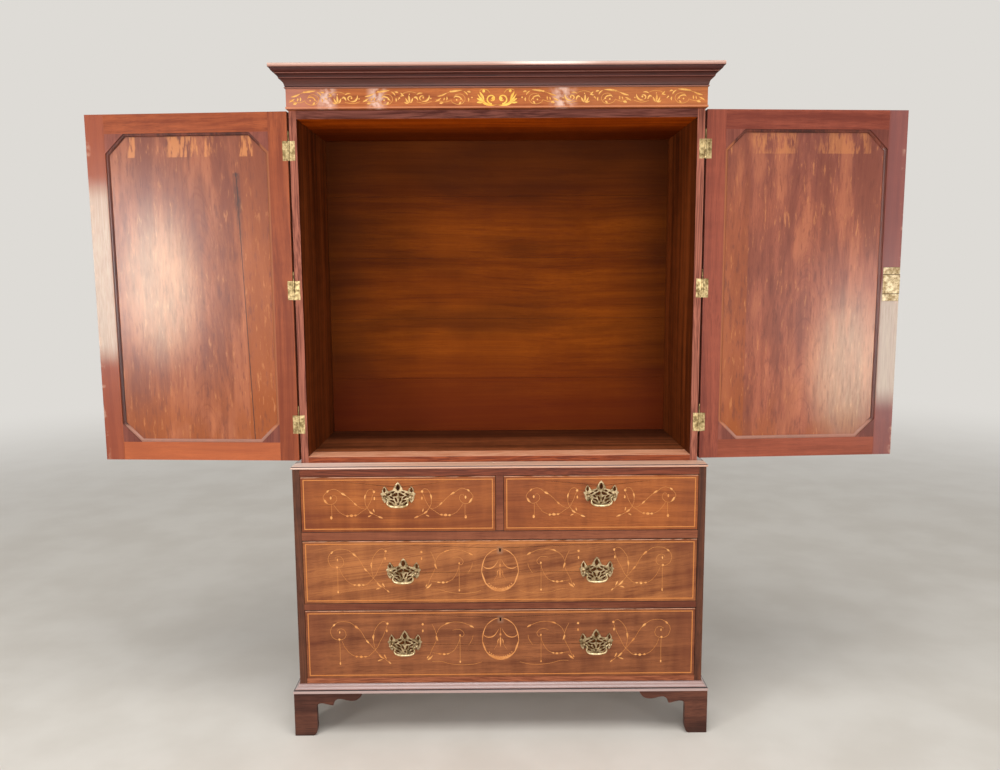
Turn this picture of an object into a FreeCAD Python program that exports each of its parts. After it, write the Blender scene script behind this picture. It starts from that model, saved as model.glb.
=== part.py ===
# Linen press: a cupboard with two panelled doors standing on a chest of two short and two long drawers.
# Millimetres, +Z up, front towards -Y, origin on the floor under the middle of the case.
# The doors stand open, the drawers are shut and the bails hang.
import FreeCAD, Part
import math
import os
import re

import Sketcher

doc = FreeCAD.newDocument("linen_press")

# Driving dimensions, in millimetres and degrees
dimensions = {
    # chest of drawers
    "lower_depth": 482,
    "lower_side_thickness": 22,
    "foot_height": 138,
    "bottom_rise": 21,
    "bottom_thickness": 22,
    "bottom_opening": 220,
    "lower_rail_height": 22,
    "middle_opening": 199,
    "upper_rail_height": 28,
    "short_opening": 172,
    "lower_top_thickness": 24,
    "rail_depth": 70,
    "divider_thickness": 23,
    "runner_width": 24,
    "guide_height": 30,
    "back_thickness": 12,
    "board_gap": 0.5,
    # mouldings and feet
    "waist_height": 16,
    "waist_projection": 4,
    "waist_lap": 18,
    "waist_gap": 1,
    "base_moulding_height": 34,
    "base_projection": 18,
    "foot_inset": 1,
    "foot_leg": 70,
    "foot_chamfer": 12,
    "bracket_span": 213,
    "bracket_thickness": 20,
    "bracket_arch": 103,
    "bracket_cusp": 51,
    "bracket_lobe": 25,
    "foot_block": 55,
    # cupboard
    "upper_width": 1212,
    "upper_setback": 45,
    "upper_side_thickness": 22,
    "upper_top_thickness": 24,
    "floor_rise": 6,
    "floor_thickness": 22,
    "floor_facing": 100,
    "frieze_height": 56,
    "frieze_thickness": 22,
    "frieze_bead": 2,
    "frieze_bead_height": 5,
    "cornice_height": 63,
    "cornice_projection": 40,
    "cornice_bed": 20,
    "cornice_top_thickness": 10,
    # doors and hinges
    "door_height": 1035,
    "door_thickness": 25,
    "door_gap": 0.5,
    "door_foot_gap": 0.5,
    "door_head_gap": 1.5,
    "door_open_angle": 183.5,
    "meeting_gap": 2,
    "stile_width": 57,
    "rail_width": 56,
    "panel_thickness": 9,
    "panel_tongue": 7,
    "tongue_gap": 1,
    "corner_leg": 57,
    "moulding_width": 9,
    "moulding_height": 5,
    "moulding_chamfer": 3.5,
    "hinge_height": 56,
    "hinge_inset": 112,
    "leaf_width": 15,
    "leaf_thickness": 2,
    "leaf_proud": 0.1,
    "pin_offset": 3.25,
    "pin_radius": 1.4,
    "pin_clearance": 0.05,
    "knuckle_radius": 3,
    "knuckle_gap": 0.3,
    "screw_radius": 1.5,
    "screw_head_radius": 2.9,
    "screw_head_height": 1,
    "screw_length": 15,
    "screw_spacing": 17,
    # door lock and door bolts
    "door_lock_height": 525,
    "door_lock_plate_length": 102,
    "door_lock_plate_width": 52,
    "door_lock_plate_thickness": 3,
    "door_lock_cap_length": 58,
    "door_lock_cap_proud": 2,
    "door_lock_case_width": 46,
    "door_lock_case_depth": 13,
    "door_lock_bolt_height": 26,
    "door_lock_bolt_thickness": 6,
    "door_lock_bolt_length": 34,
    "door_lock_travel": 10,
    "bolt_gap": 0.3,
    "keep_gap": 1,
    "flush_bolt_radius": 3.5,
    "flush_bolt_clearance": 0.05,
    "flush_bolt_hole_gap": 1.6,
    "flush_bolt_length": 120,
    "flush_bolt_inset": 16,
    "flush_bolt_travel": 11,
    "flush_bolt_stud": 2,
    # drawers
    "drawer_gap": 1.5,
    "drawer_lift": 0.5,
    "drawer_head_gap": 2,
    "front_thickness": 22,
    "drawer_back_gap": 18,
    "drawer_side_thickness": 11,
    "drawer_side_inset": 0.5,
    "drawer_side_drop": 8,
    "drawer_back_thickness": 10,
    "drawer_bottom_rise": 6,
    "drawer_bottom_thickness": 8,
    # drawer locks
    "lock_width": 50,
    "lock_height": 44,
    "lock_depth": 11,
    "lock_bolt_width": 20,
    "lock_bolt_thickness": 5,
    "lock_bolt_height": 34,
    "lock_bolt_travel": 8,
    "keyhole_radius": 2.2,
    "keyhole_drop": 27,
    # handles
    "handle_span": 78,
    "long_handle_offset": 296,
    "short_handle_rise": 25,
    "plate_thickness": 2,
    "plate_rise": 44,
    "plate_drop": 37,
    "pivot_reach": 18,
    "knob_radius": 5.5,
    "post_radius": 3.5,
    "shank_radius": 2.5,
    "nut_radius": 7,
    "nut_height": 4,
    "bail_radius": 2.6,
    "bail_clearance": 0.05,
    "bail_drop": 33,
    "bail_curl": 5,
    "bail_pin": 7,
}

sheet = doc.addObject("Spreadsheet::Sheet", "Sizes")
for row, (alias, size) in enumerate(dimensions.items(), start=1):
    sheet.set(f"A{row}", alias)
    sheet.set(f"B{row}", str(size))
    sheet.setAlias(f"B{row}", alias)
doc.recompute()

ALIAS = re.compile(r"\b(" + "|".join(sorted(dimensions, key=len, reverse=True)) + r")\b")


def bound(text):
    """Expression on the sheet's cells, from text that names them by alias."""
    return ALIAS.sub(r"Sizes.\1", str(text))


def number(text):
    """The value that such an expression has now."""
    return float(sheet.evalExpression(bound(text)))


# Levels and planes that several pieces share
case_front = "((pivot_reach + knob_radius - lower_depth) / 2)"
case_back = f"({case_front} + lower_depth)"
back_plane = f"({case_back} - back_thickness)"
bottom_floor = "(foot_height + bottom_rise + bottom_thickness)"
lower_rail_foot = f"({bottom_floor} + bottom_opening)"
middle_floor = f"({lower_rail_foot} + lower_rail_height)"
upper_rail_foot = f"({middle_floor} + middle_opening)"
short_floor = f"({upper_rail_foot} + upper_rail_height)"
short_ceiling = f"({short_floor} + short_opening)"
lower_head = f"({short_ceiling} + lower_top_thickness)"
waist_head = f"({lower_head} + waist_height)"
door_foot = f"({waist_head} + door_foot_gap)"
door_head = f"({door_foot} + door_height)"
upper_head = f"({door_head} + door_head_gap)"
frieze_head = f"({upper_head} + frieze_height)"
upper_front = f"({case_front} + upper_setback)"
frieze_front = f"({upper_front} - door_gap - door_thickness)"
# the chest is as wide as the cupboard with the waist moulding that frames it
lower_width = "(upper_width + 2 * (waist_gap + waist_lap))"
lower_inner = f"({lower_width} / 2 - lower_side_thickness)"
upper_inner = "(upper_width / 2 - upper_side_thickness)"
floor_foot = f"({lower_head} + floor_rise)"

nodes = []


def box(name, x, y, z, length, width, height):
    """Rectangular board from its lowest corner and its sizes along X, Y and Z."""
    board = doc.addObject("Part::Box", name)
    places = ("Placement.Base.x", "Placement.Base.y", "Placement.Base.z", "Length", "Width", "Height")
    for place, text in zip(places, (x, y, z, length, width, height)):
        board.setExpression(place, bound(text))
    return board


def rod(name, x, y, z, radius, length, along="Z"):
    """Round bar from the centre of its first end, running along X, Y or Z."""
    bar = doc.addObject("Part::Cylinder", name)
    turns = {"X": FreeCAD.Rotation(FreeCAD.Vector(0, 1, 0), 90),
             "Y": FreeCAD.Rotation(FreeCAD.Vector(1, 0, 0), -90),
             "Z": FreeCAD.Rotation()}
    bar.Placement = FreeCAD.Placement(FreeCAD.Vector(), turns[along])
    places = ("Placement.Base.x", "Placement.Base.y", "Placement.Base.z", "Radius", "Height")
    for place, text in zip(places, (x, y, z, radius, length)):
        bar.setExpression(place, bound(text))
    return bar


def group(name, solids):
    """Several solids kept apart in one object."""
    several = doc.addObject("Part::Compound", name)
    several.Links = solids
    return several


def cut(name, solid, tools):
    """What is left of a solid once the tools are taken out of it."""
    left = doc.addObject("Part::Cut", name)
    left.Base = solid
    left.Tool = group(name + "_waste", tools)
    return left


def join(name, solids):
    """One solid from several that run into each other."""
    whole = doc.addObject("Part::MultiFuse", name)
    whole.Shapes = solids
    whole.Refine = True
    return whole


def copy(name, source, places):
    """A linked copy of a piece, moved and turned by expressions on its placement."""
    twin = doc.addObject("App::Link", name)
    twin.LinkedObject = source
    for place, text in places.items():
        twin.setExpression(place, bound(text))
    return twin


def node(label, solids, places=None):
    """One named piece of the press, or a set of like pieces, put in its place."""
    piece = group(label, solids)
    piece.Label = label
    for place, text in (places or {}).items():
        piece.setExpression(place, bound(text))
    nodes.append(piece)


def sketch_on(body, name, role, lift="0"):
    """Empty sketch on one of the body's own planes, lifted along the plane's normal."""
    sketch = body.newObject("Sketcher::SketchObject", name)
    plane = [feature for feature in body.Origin.OriginFeatures if feature.Role == role][0]
    sketch.AttachmentSupport = [(plane, "")]
    sketch.MapMode = "FlatFace"
    sketch.setExpression("AttachmentOffset.Base.z", bound(lift))
    return sketch


def arc_between(start, end, radius, turn):
    """Arc from start to end, turning left (+1) or right (-1) on the way."""
    chord = end - start
    rise = math.sqrt(max(radius ** 2 - (chord.Length / 2) ** 2, 0))
    left = FreeCAD.Vector(-chord.y, chord.x, 0).normalize()
    centre = (start + end) / 2 + left * (rise * turn)
    first, last = (start, end) if turn > 0 else (end, start)
    angles = [math.atan2(point.y - centre.y, point.x - centre.x) for point in (first, last)]
    return Part.ArcOfCircle(Part.Circle(centre, FreeCAD.Vector(0, 0, 1), radius), *angles)


def trace(sketch, corners, closed=True):
    """Runs through corners given as (across, up) expressions.

    A corner with two more entries, a radius and a turn, starts an arc that reaches the next corner.
    """
    points = [FreeCAD.Vector(number(corner[0]), number(corner[1]), 0) for corner in corners]
    count = len(corners) if closed else len(corners) - 1
    runs = []
    for index in range(count):
        start, end = points[index], points[(index + 1) % len(points)]
        if len(corners[index]) == 2:
            run = sketch.addGeometry(Part.LineSegment(start, end), False)
            runs.append((run, 1, 2))
        else:
            radius, turn = corners[index][2:]
            run = sketch.addGeometry(arc_between(start, end, number(radius), turn), False)
            runs.append((run, 1, 2) if turn > 0 else (run, 2, 1))
            size = sketch.addConstraint(Sketcher.Constraint("Radius", run, number(radius)))
            sketch.setExpression(f"Constraints[{size}]", bound(radius))
    ends = [(run, first) for run, first, last in runs]
    if not closed:
        ends.append((runs[-1][0], runs[-1][2]))
    for index in range(count if closed else count - 1):
        run, first, last = runs[index]
        following = runs[(index + 1) % count]
        sketch.addConstraint(Sketcher.Constraint("Coincident", run, last, following[0], following[1]))
    for (run, end), point, corner in zip(ends, points, corners):
        for kind, place, text in (("DistanceX", point.x, corner[0]), ("DistanceY", point.y, corner[1])):
            size = sketch.addConstraint(Sketcher.Constraint(kind, -1, 1, run, end, place))
            sketch.setExpression(f"Constraints[{size}]", bound(text))


def circle(sketch, across, up, radius):
    """Full circle in a sketch."""
    centre = FreeCAD.Vector(number(across), number(up), 0)
    run = sketch.addGeometry(Part.Circle(centre, FreeCAD.Vector(0, 0, 1), number(radius)), False)
    for kind, place, text in (("DistanceX", centre.x, across), ("DistanceY", centre.y, up)):
        size = sketch.addConstraint(Sketcher.Constraint(kind, -1, 1, run, 3, place))
        sketch.setExpression(f"Constraints[{size}]", bound(text))
    size = sketch.addConstraint(Sketcher.Constraint("Radius", run, number(radius)))
    sketch.setExpression(f"Constraints[{size}]", bound(radius))


def new_body(name):
    return doc.addObject("PartDesign::Body", name)


def pad(body, sketch, length, other=None, symmetric=False):
    """Thickens a sketch along its normal, and by the other length the other way."""
    feature = body.newObject("PartDesign::Pad", sketch.Name + "_pad")
    feature.Profile = sketch
    feature.setExpression("Length", bound(length))
    if symmetric:
        feature.SideType = "Symmetric"
    if other:
        feature.SideType = "Two sides"
        feature.setExpression("Length2", bound(other))
    doc.recompute()
    return feature


def pocket_through(body, sketch):
    """Cuts a sketch right through the body, both ways."""
    before = body.Shape.Volume
    feature = body.newObject("PartDesign::Pocket", sketch.Name + "_pocket")
    feature.Profile = sketch
    feature.SideType = "Symmetric"
    feature.Type = "ThroughAll"
    doc.recompute()
    if not body.Shape.Volume < before:
        raise RuntimeError(f"{sketch.Name} cuts nothing")
    return feature


def slab(name, outlines, y_low, thickness):
    """Flat piece in an upright plane facing the front: outlines in X and Z, thickness along +Y."""
    body = new_body(name)
    sketch = sketch_on(body, name + "_outline", "XZ_Plane", f"-(({y_low}) + ({thickness}))")
    for outline in outlines:
        if len(outline) == 3 and isinstance(outline[0], str):
            circle(sketch, *outline)
        else:
            trace(sketch, outline)
    pad(body, sketch, thickness)
    return body


# Chest carcase: sides with the top and bottom boards between them, and a boarded back
lower_height = f"({lower_head} - foot_height)"
node("lower_left_side", [box("lower_left_board", f"-{lower_width} / 2", case_front, "foot_height",
                             "lower_side_thickness", "lower_depth", lower_height)])
node("lower_right_side", [box("lower_right_board", lower_inner, case_front, "foot_height",
                              "lower_side_thickness", "lower_depth", lower_height)])
board_depth = "(lower_depth - back_thickness)"
lower_span = f"(2 * {lower_inner})"
node("lower_bottom", [box("lower_bottom_board", f"-{lower_inner}", case_front, "foot_height + bottom_rise",
                          lower_span, board_depth, "bottom_thickness")])

short_centre = f"(({lower_inner} + divider_thickness / 2) / 2)"
lock_plane = f"({case_front} + front_thickness - lock_depth / 2)"


def keep(name, x, head):
    """Mortise above a drawer that takes its lock bolt."""
    width = "(lock_bolt_width + 2 * keep_gap)"
    thickness = "(lock_bolt_thickness + 2 * keep_gap)"
    return box(name, f"{x} - {width} / 2", f"{lock_plane} - {thickness} / 2", head,
               width, thickness, "lock_bolt_travel + keep_gap")


lower_top_board = box("lower_top_board", f"-{lower_inner}", case_front, short_ceiling,
                      lower_span, board_depth, "lower_top_thickness")
short_keeps = [keep("left_short_keep", f"-{short_centre}", short_ceiling),
               keep("right_short_keep", short_centre, short_ceiling)]
node("lower_top", [cut("lower_top_mortised", lower_top_board, short_keeps)])

LOWER_BOARDS = 6
back_board = f"({lower_span} / {LOWER_BOARDS})"
node("lower_back", [box(f"lower_back_board_{index + 1}",
                        f"-{lower_inner} + {index} * {back_board} + board_gap / 2", back_plane,
                        "foot_height + bottom_rise", f"{back_board} - board_gap", "back_thickness",
                        f"{lower_head} - foot_height - bottom_rise") for index in range(LOWER_BOARDS)])

# Rails between the drawers, with the upright divider of the short ones
lower_rail = box("lower_rail_bar", f"-{lower_inner}", case_front, lower_rail_foot,
                 lower_span, "rail_depth", "lower_rail_height")
upper_rail = box("upper_rail_bar", f"-{lower_inner}", case_front, upper_rail_foot,
                 lower_span, "rail_depth", "upper_rail_height")
node("drawer_rails", [
    box("bottom_rail", f"-{lower_inner}", case_front, "foot_height", lower_span, "rail_depth", "bottom_rise"),
    cut("lower_rail", lower_rail, [keep("bottom_keep", "0", lower_rail_foot)]),
    cut("upper_rail", upper_rail, [keep("middle_keep", "0", upper_rail_foot)]),
    box("divider", "-divider_thickness / 2", case_front, short_floor,
        "divider_thickness", "rail_depth", "short_opening"),
])

# Runners that carry the drawer sides behind the rails, and the guide between the short drawers
runner_start = f"({case_front} + rail_depth)"
runner_length = f"({back_plane} - {runner_start})"
runners = []
for level, foot, height in (("lower", lower_rail_foot, "lower_rail_height"),
                            ("upper", upper_rail_foot, "upper_rail_height")):
    for side, x in (("left", f"-{lower_inner}"), ("right", f"{lower_inner} - runner_width")):
        runners.append(box(f"{level}_{side}_runner", x, runner_start, foot,
                           "runner_width", runner_length, height))
runners.append(box("middle_runner", "-runner_width", runner_start, upper_rail_foot,
                   "2 * runner_width", runner_length, "upper_rail_height"))
runners.append(box("short_guide", "-divider_thickness / 2", runner_start, short_floor,
                   "divider_thickness", runner_length, "guide_height"))
node("drawer_runners", runners)


def mitred_moulding(label, profile, half_width, front, foot, projection, front_lap, side_lap):
    """Moulding round the front and both ends, in three lengths mitred at the corners.

    profile(lap) gives the section as (out, up) corners, with its back edge lap behind the wall.
    """
    outer = f"({half_width} + {projection})"
    inner = f"({half_width} - {side_lap})"
    nose = f"({front} - {projection})"
    reach = f"({projection} + {side_lap})"

    body = new_body(label + "_front")
    section = sketch_on(body, label + "_front_section", "YZ_Plane")
    trace(section, [(f"{front} - ({out})", f"{foot} + ({up})", *arc) for out, up, *arc in profile(front_lap)])
    pad(body, section, f"2 * {outer}", symmetric=True)
    waste = sketch_on(body, label + "_front_mitres", "XY_Plane")
    behind = f"{front} + {front_lap} + 1"
    for hand in ("-", ""):
        trace(waste, [(f"{hand}({outer} + 1)", f"{nose} - 1"), (f"{hand}{inner}", f"{nose} + {reach}"),
                      (f"{hand}{inner}", behind), (f"{hand}({outer} + 1)", behind)])
    pocket_through(body, waste)
    lengths = [body]

    for side, hand, turn in (("left", "-", -1), ("right", "", 1)):
        body = new_body(f"{label}_{side}")
        section = sketch_on(body, f"{label}_{side}_section", "XZ_Plane")
        corners = []
        for out, up, *arc in profile(side_lap):
            bend = [arc[0], -turn * arc[1]] if arc else []
            corners.append((f"{hand}({half_width} + ({out}))", f"{foot} + ({up})", *bend))
        trace(section, corners)
        pad(body, section, f"-{nose}", other=case_back)
        waste = sketch_on(body, f"{label}_{side}_mitre", "XY_Plane")
        trace(waste, [(f"{hand}({outer} + 1)", f"{nose} - 1"), (f"{hand}({inner} - 1)", f"{nose} - 1"),
                      (f"{hand}({inner} - 1)", f"{nose} + {reach} + 1")])
        pocket_through(body, waste)
        lengths.append(body)
    return lengths


def waist_section(lap):
    """Flat ledge with a hollow under its edge and a square fillet below."""
    return [(f"-({lap})", "0"), ("waist_projection", "0"), ("waist_projection", "waist_height * 0.35"),
            ("waist_projection * 0.5", "waist_height * 0.45"),
            ("waist_projection * 0.5", "waist_height * 0.7"),
            ("0", "waist_height"), (f"-({lap})", "waist_height")]


def base_section(lap):
    """Hollow that runs out from the case to a square fillet at the foot."""
    return [(f"-({lap})", "0"), ("base_projection", "0"), ("base_projection", "base_moulding_height * 0.28"),
            ("base_projection * 0.75", "base_moulding_height * 0.4"),
            ("base_projection * 0.7", "base_moulding_height * 0.5"),
            ("base_projection * 0.3", "base_moulding_height * 0.7"),
            ("base_projection * 0.15", "base_moulding_height"), (f"-({lap})", "base_moulding_height")]


def cornice_section(lap):
    """From the foot: bead, cove, step, ovolo and top fillet."""
    return [(f"-({lap})", "0"), ("cornice_projection * 0.12", "0"),
            ("cornice_projection * 0.12", "cornice_height * 0.09"),
            ("cornice_projection * 0.07", "cornice_height * 0.12"),
            ("cornice_projection * 0.1", "cornice_height * 0.14", "cornice_height * 0.45", -1),
            ("cornice_projection * 0.5", "cornice_height * 0.45"),
            ("cornice_projection * 0.56", "cornice_height * 0.45"),
            ("cornice_projection * 0.56", "cornice_height * 0.53"),
            ("cornice_projection * 0.66", "cornice_height * 0.57", "cornice_height * 0.34", 1),
            ("cornice_projection * 0.95", "cornice_height * 0.79"),
            ("cornice_projection", "cornice_height * 0.8"), ("cornice_projection", "cornice_height"),
            (f"-({lap})", "cornice_height")]


# Hole in which a shot door bolt stands, over or under the left door's meeting stile
bolt_place = "-(meeting_gap / 2 + flush_bolt_inset)"
bolt_plane = f"({upper_front} - door_gap - door_thickness / 2)"
bolt_hole = "flush_bolt_radius + flush_bolt_hole_gap"
bolt_depth = "flush_bolt_travel + keep_gap"

# Waist moulding on the chest's top edge, which frames the foot of the cupboard
waist = mitred_moulding("waist_moulding", waist_section, f"({lower_width} / 2)", case_front, lower_head,
                        "waist_projection", "(upper_setback - waist_gap)", "waist_lap")
bottom_bolt_hole = rod("bottom_bolt_hole", bolt_place, bolt_plane, f"{waist_head} - ({bolt_depth})",
                       bolt_hole, bolt_depth)
node("waist_moulding", [cut("waist_front_drilled", waist[0], [bottom_bolt_hole])] + waist[1:])

# Base moulding round the foot of the chest
node("base_moulding", mitred_moulding("base_moulding", base_section, f"({lower_width} / 2)", case_front,
                                      "foot_height", "base_projection", "0", "0"))


def bracket(name, hand, mitred):
    """Foot bracket: a leg, an arch, a cusp and an ogee lobe up to the moulding, drawn from its corner."""
    body = new_body(name)
    outline = sketch_on(body, name + "_outline", "XZ_Plane")
    lobe = "(bracket_span - foot_leg - bracket_cusp)"
    rise = "(foot_height - bracket_arch)"
    cusp = "(foot_leg + bracket_cusp)"
    corners = [
        ("0", "0"), ("foot_leg - foot_chamfer", "0"), ("foot_leg", "foot_chamfer * 2"),
        ("foot_leg", f"bracket_arch - {rise} * 0.25"), ("foot_leg + bracket_cusp * 0.31", "bracket_arch"),
        (f"{cusp} - bracket_cusp * 0.27", f"bracket_arch - {rise} * 0.06"),
        (cusp, f"bracket_arch - {rise} * 0.25"),
        (f"{cusp} + {lobe} * 0.2", f"foot_height - {rise} * 0.55"),
        (f"{cusp} + {lobe} * 0.42", f"foot_height - {rise} * 0.58"),
        (f"{cusp} + {lobe} * 0.64", "foot_height - bracket_lobe"),
        (f"{cusp} + {lobe} * 0.84", "foot_height - bracket_lobe * 0.98"),
        (f"{cusp} + {lobe} * 0.96", "foot_height - bracket_lobe * 0.6"),
        ("bracket_span", "foot_height"), ("0", "foot_height"),
    ]
    trace(outline, [(f"{hand} * ({across})", up) for across, up in corners])
    doc.recompute()
    feature = body.newObject("PartDesign::Pad", name + "_pad")
    feature.Profile = outline
    feature.Reversed = True
    feature.setExpression("Length", bound("bracket_thickness"))
    doc.recompute()
    if mitred:
        waste = sketch_on(body, name + "_mitre", "XY_Plane")
        trace(waste, [(f"{-hand}", "-1"), (f"{hand} * (bracket_thickness + 1)", "bracket_thickness + 1"),
                      (f"{-hand}", "bracket_thickness + 1")])
        pocket_through(body, waste)
    return body


# Bracket feet: mitred pairs at the front corners, single brackets at the back, glue blocks behind them
foot_side = f"({lower_width} / 2 + base_projection - foot_inset)"
foot_front = f"({case_front} - base_projection + foot_inset)"
brackets = {(hand, mitred): bracket(f"{side}_bracket_{end}", hand, mitred)
            for side, hand in (("left", 1), ("right", -1))
            for end, mitred in (("mitred", True), ("square", False))}


def foot(name, hand, mitred, x, y, turn):
    """Bracket set at a corner of the case and turned about the vertical."""
    return copy(name, brackets[hand, mitred], {"Placement.Base.x": x, "Placement.Base.y": y,
                                               "Placement.Rotation.Angle": turn})


feet = [
    foot("foot_front_left", 1, True, f"-{foot_side}", foot_front, "0"),
    foot("foot_left_front", -1, True, f"-{foot_side}", foot_front, "-90"),
    foot("foot_front_right", -1, True, foot_side, foot_front, "0"),
    foot("foot_right_front", 1, True, foot_side, foot_front, "90"),
    foot("foot_left_back", 1, False, f"-{foot_side}", case_back, "-90"),
    foot("foot_right_back", -1, False, foot_side, case_back, "90"),
]
block_side = f"({foot_side} - bracket_thickness)"
for side, x in (("left", f"-{block_side}"), ("right", f"{block_side} - foot_block")):
    for end, y in (("front", f"{foot_front} + bracket_thickness"), ("back", f"{case_back} - foot_block")):
        feet.append(box(f"{end}_{side}_block", x, y, "0", "foot_block", "foot_block", "foot_height"))
node("bracket_feet", feet)

# Hinge axes: one pin line at each side, just outside the case and just before its front edge
pin_x = "(upper_width / 2 + pin_offset)"
pin_y = f"({upper_front} - door_gap / 2)"
door_width = "(upper_width / 2 - meeting_gap / 2)"
hinge_heights = {"lower": f"({door_foot} + hinge_inset)", "middle": f"({door_foot} + door_height / 2)",
                 "upper": f"({door_head} - hinge_inset)"}
leaf_depth = "(leaf_thickness - leaf_proud)"

# Cupboard carcase: sides let in for the hinge leaves, top, faced floor and boarded back
upper_depth = f"({case_back} - {upper_front})"
for side, x, leaf_x in (("left", "-upper_width / 2", "-upper_width / 2"),
                        ("right", upper_inner, "upper_width / 2 - leaf_width")):
    board = box(f"upper_{side}_board", x, upper_front, lower_head, "upper_side_thickness", upper_depth,
                f"{upper_head} - {lower_head}")
    recesses = [box(f"upper_{side}_{level}_recess", leaf_x, upper_front, f"{height} - hinge_height / 2",
                    "leaf_width", leaf_depth, "hinge_height") for level, height in hinge_heights.items()]
    node(f"upper_{side}_side", [cut(f"upper_{side}_side_cut", board, recesses)])

upper_span = f"(2 * {upper_inner})"
upper_board_depth = f"({back_plane} - {upper_front})"
node("upper_top", [box("upper_top_board", f"-{upper_inner}", upper_front,
                       f"{upper_head} - upper_top_thickness", upper_span, upper_board_depth,
                       "upper_top_thickness")])
node("upper_bottom", [
    box("floor_front_strip", f"-{upper_inner}", upper_front, floor_foot,
        upper_span, "floor_facing", "floor_thickness"),
    box("floor_board", f"-{upper_inner}", f"{upper_front} + floor_facing", floor_foot, upper_span,
        f"{upper_board_depth} - floor_facing", "floor_thickness"),
])
UPPER_BOARDS = 5
upper_board = f"(({upper_head} - {floor_foot}) / {UPPER_BOARDS})"
node("upper_back", [box(f"upper_back_board_{index + 1}", f"-{upper_inner}", back_plane,
                        f"{floor_foot} + {index} * {upper_board} + board_gap / 2", upper_span,
                        "back_thickness", f"{upper_board} - board_gap") for index in range(UPPER_BOARDS)])

# Frieze: four boards that stand on the cupboard, with a bead along their foot
frieze_back = f"({case_back} - {frieze_front})"
frieze_board = box("frieze_front_board", "-upper_width / 2", frieze_front, upper_head,
                   "upper_width", "frieze_thickness", "frieze_height")
top_bolt_hole = rod("top_bolt_hole", bolt_place, bolt_plane, upper_head, bolt_hole, bolt_depth)
return_y = f"({frieze_front} + frieze_thickness)"
return_depth = f"({case_back} - {return_y})"
node("frieze", [
    cut("frieze_front_drilled", frieze_board, [top_bolt_hole]),
    box("frieze_left", "-upper_width / 2", return_y, upper_head,
        "frieze_thickness", return_depth, "frieze_height"),
    box("frieze_right", "upper_width / 2 - frieze_thickness", return_y, upper_head,
        "frieze_thickness", return_depth, "frieze_height"),
    box("frieze_back", "-upper_width / 2 + frieze_thickness", f"{case_back} - frieze_thickness", upper_head,
        "upper_width - 2 * frieze_thickness", "frieze_thickness",
        "frieze_height + cornice_height - cornice_top_thickness"),
    box("frieze_bead_front", "-upper_width / 2 - frieze_bead", f"{frieze_front} - frieze_bead", upper_head,
        "upper_width + 2 * frieze_bead", "frieze_bead", "frieze_bead_height"),
    box("frieze_bead_left", "-upper_width / 2 - frieze_bead", frieze_front, upper_head,
        "frieze_bead", frieze_back, "frieze_bead_height"),
    box("frieze_bead_right", "upper_width / 2", frieze_front, upper_head,
        "frieze_bead", frieze_back, "frieze_bead_height"),
])

# Cornice: three mitred lengths bedded on the frieze, with a dust board between them
cornice = mitred_moulding("cornice", cornice_section, "(upper_width / 2)", frieze_front, frieze_head,
                          "cornice_projection", "cornice_bed", "cornice_bed")
dust_front = f"({frieze_front} + cornice_bed)"
node("cornice", cornice + [
    box("dust_board", "-upper_width / 2 + cornice_bed", dust_front,
        f"{frieze_head} + cornice_height - cornice_top_thickness", "upper_width - 2 * cornice_bed",
        f"{case_back} - {dust_front}", "cornice_top_thickness")])

# Hinges: butts of five knuckles, three on the case leaf and two on the door leaf, drawn about their pins
KNUCKLES = 5
knuckle = f"(hinge_height / {KNUCKLES})"
SCREWS = 3


def mirrored(hand, low, length):
    """Lowest X of a span that starts at low, on this hand or mirrored to the other."""
    return low if hand > 0 else f"-({low}) - ({length})"


def hinge_leaf(name, hand, face, turns, bore):
    """Leaf of a butt hinge, let in on the +Y or -Y side of the pin plane, with its knuckles."""
    leaf_y = "(door_gap / 2 - leaf_proud)" if face > 0 else "-(door_gap / 2 - leaf_proud) - leaf_thickness"
    solids = [box(name + "_plate", mirrored(hand, "pin_offset", "leaf_width"), leaf_y, "-hinge_height / 2",
                  "leaf_width", "leaf_thickness", "hinge_height")]
    for turn in turns:
        foot_z = f"-hinge_height / 2 + {turn} * {knuckle} + knuckle_gap / 2"
        height = f"{knuckle} - knuckle_gap"
        solids.append(rod(f"{name}_knuckle_{turn}", "0", "0", foot_z, "knuckle_radius", height))
        solids.append(box(f"{name}_web_{turn}", mirrored(hand, "0", "pin_offset"), leaf_y, foot_z,
                          "pin_offset", "leaf_thickness", height))
    tools = [rod(name + "_bore", "0", "0", "-hinge_height / 2", bore, "hinge_height")]
    for index in range(SCREWS):
        x, z = screw_place(hand, index)
        tools.append(rod(f"{name}_hole_{index}", x, leaf_y, z, "screw_radius", "leaf_thickness", "Y"))
        sink = leaf_y if face > 0 else f"{leaf_y} + leaf_thickness - screw_head_height"
        tools.append(rod(f"{name}_sink_{index}", x, sink, z, "screw_head_radius", "screw_head_height", "Y"))
    return cut(name, join(name + "_blank", solids), tools)


def screw_place(hand, index):
    """X and Z of a hinge screw, the three staggered up the leaf."""
    x = f"pin_offset + leaf_width * {0.62 if index % 2 else 0.5}"
    return (x if hand > 0 else f"-({x})"), f"({index} - 1) * screw_spacing"


def hinge_screw(name, face):
    """Countersunk screw with its head at the leaf's face, driven towards +Y or -Y."""
    top = "(door_gap / 2 - leaf_proud)" if face > 0 else "-(door_gap / 2 - leaf_proud)"
    head = top if face > 0 else f"{top} - screw_head_height"
    shank = top if face > 0 else f"{top} - screw_length"
    return join(name, [rod(name + "_head", "0", head, "0", "screw_head_radius", "screw_head_height", "Y"),
                       rod(name + "_shank", "0", shank, "0", "screw_radius", "screw_length", "Y")])


def at_hinges(name, solid):
    """The piece at each of the three hinge heights of a door."""
    return [copy(f"{name}_{level}", solid, {"Placement.Base.z": height})
            for level, height in hinge_heights.items()]


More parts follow.
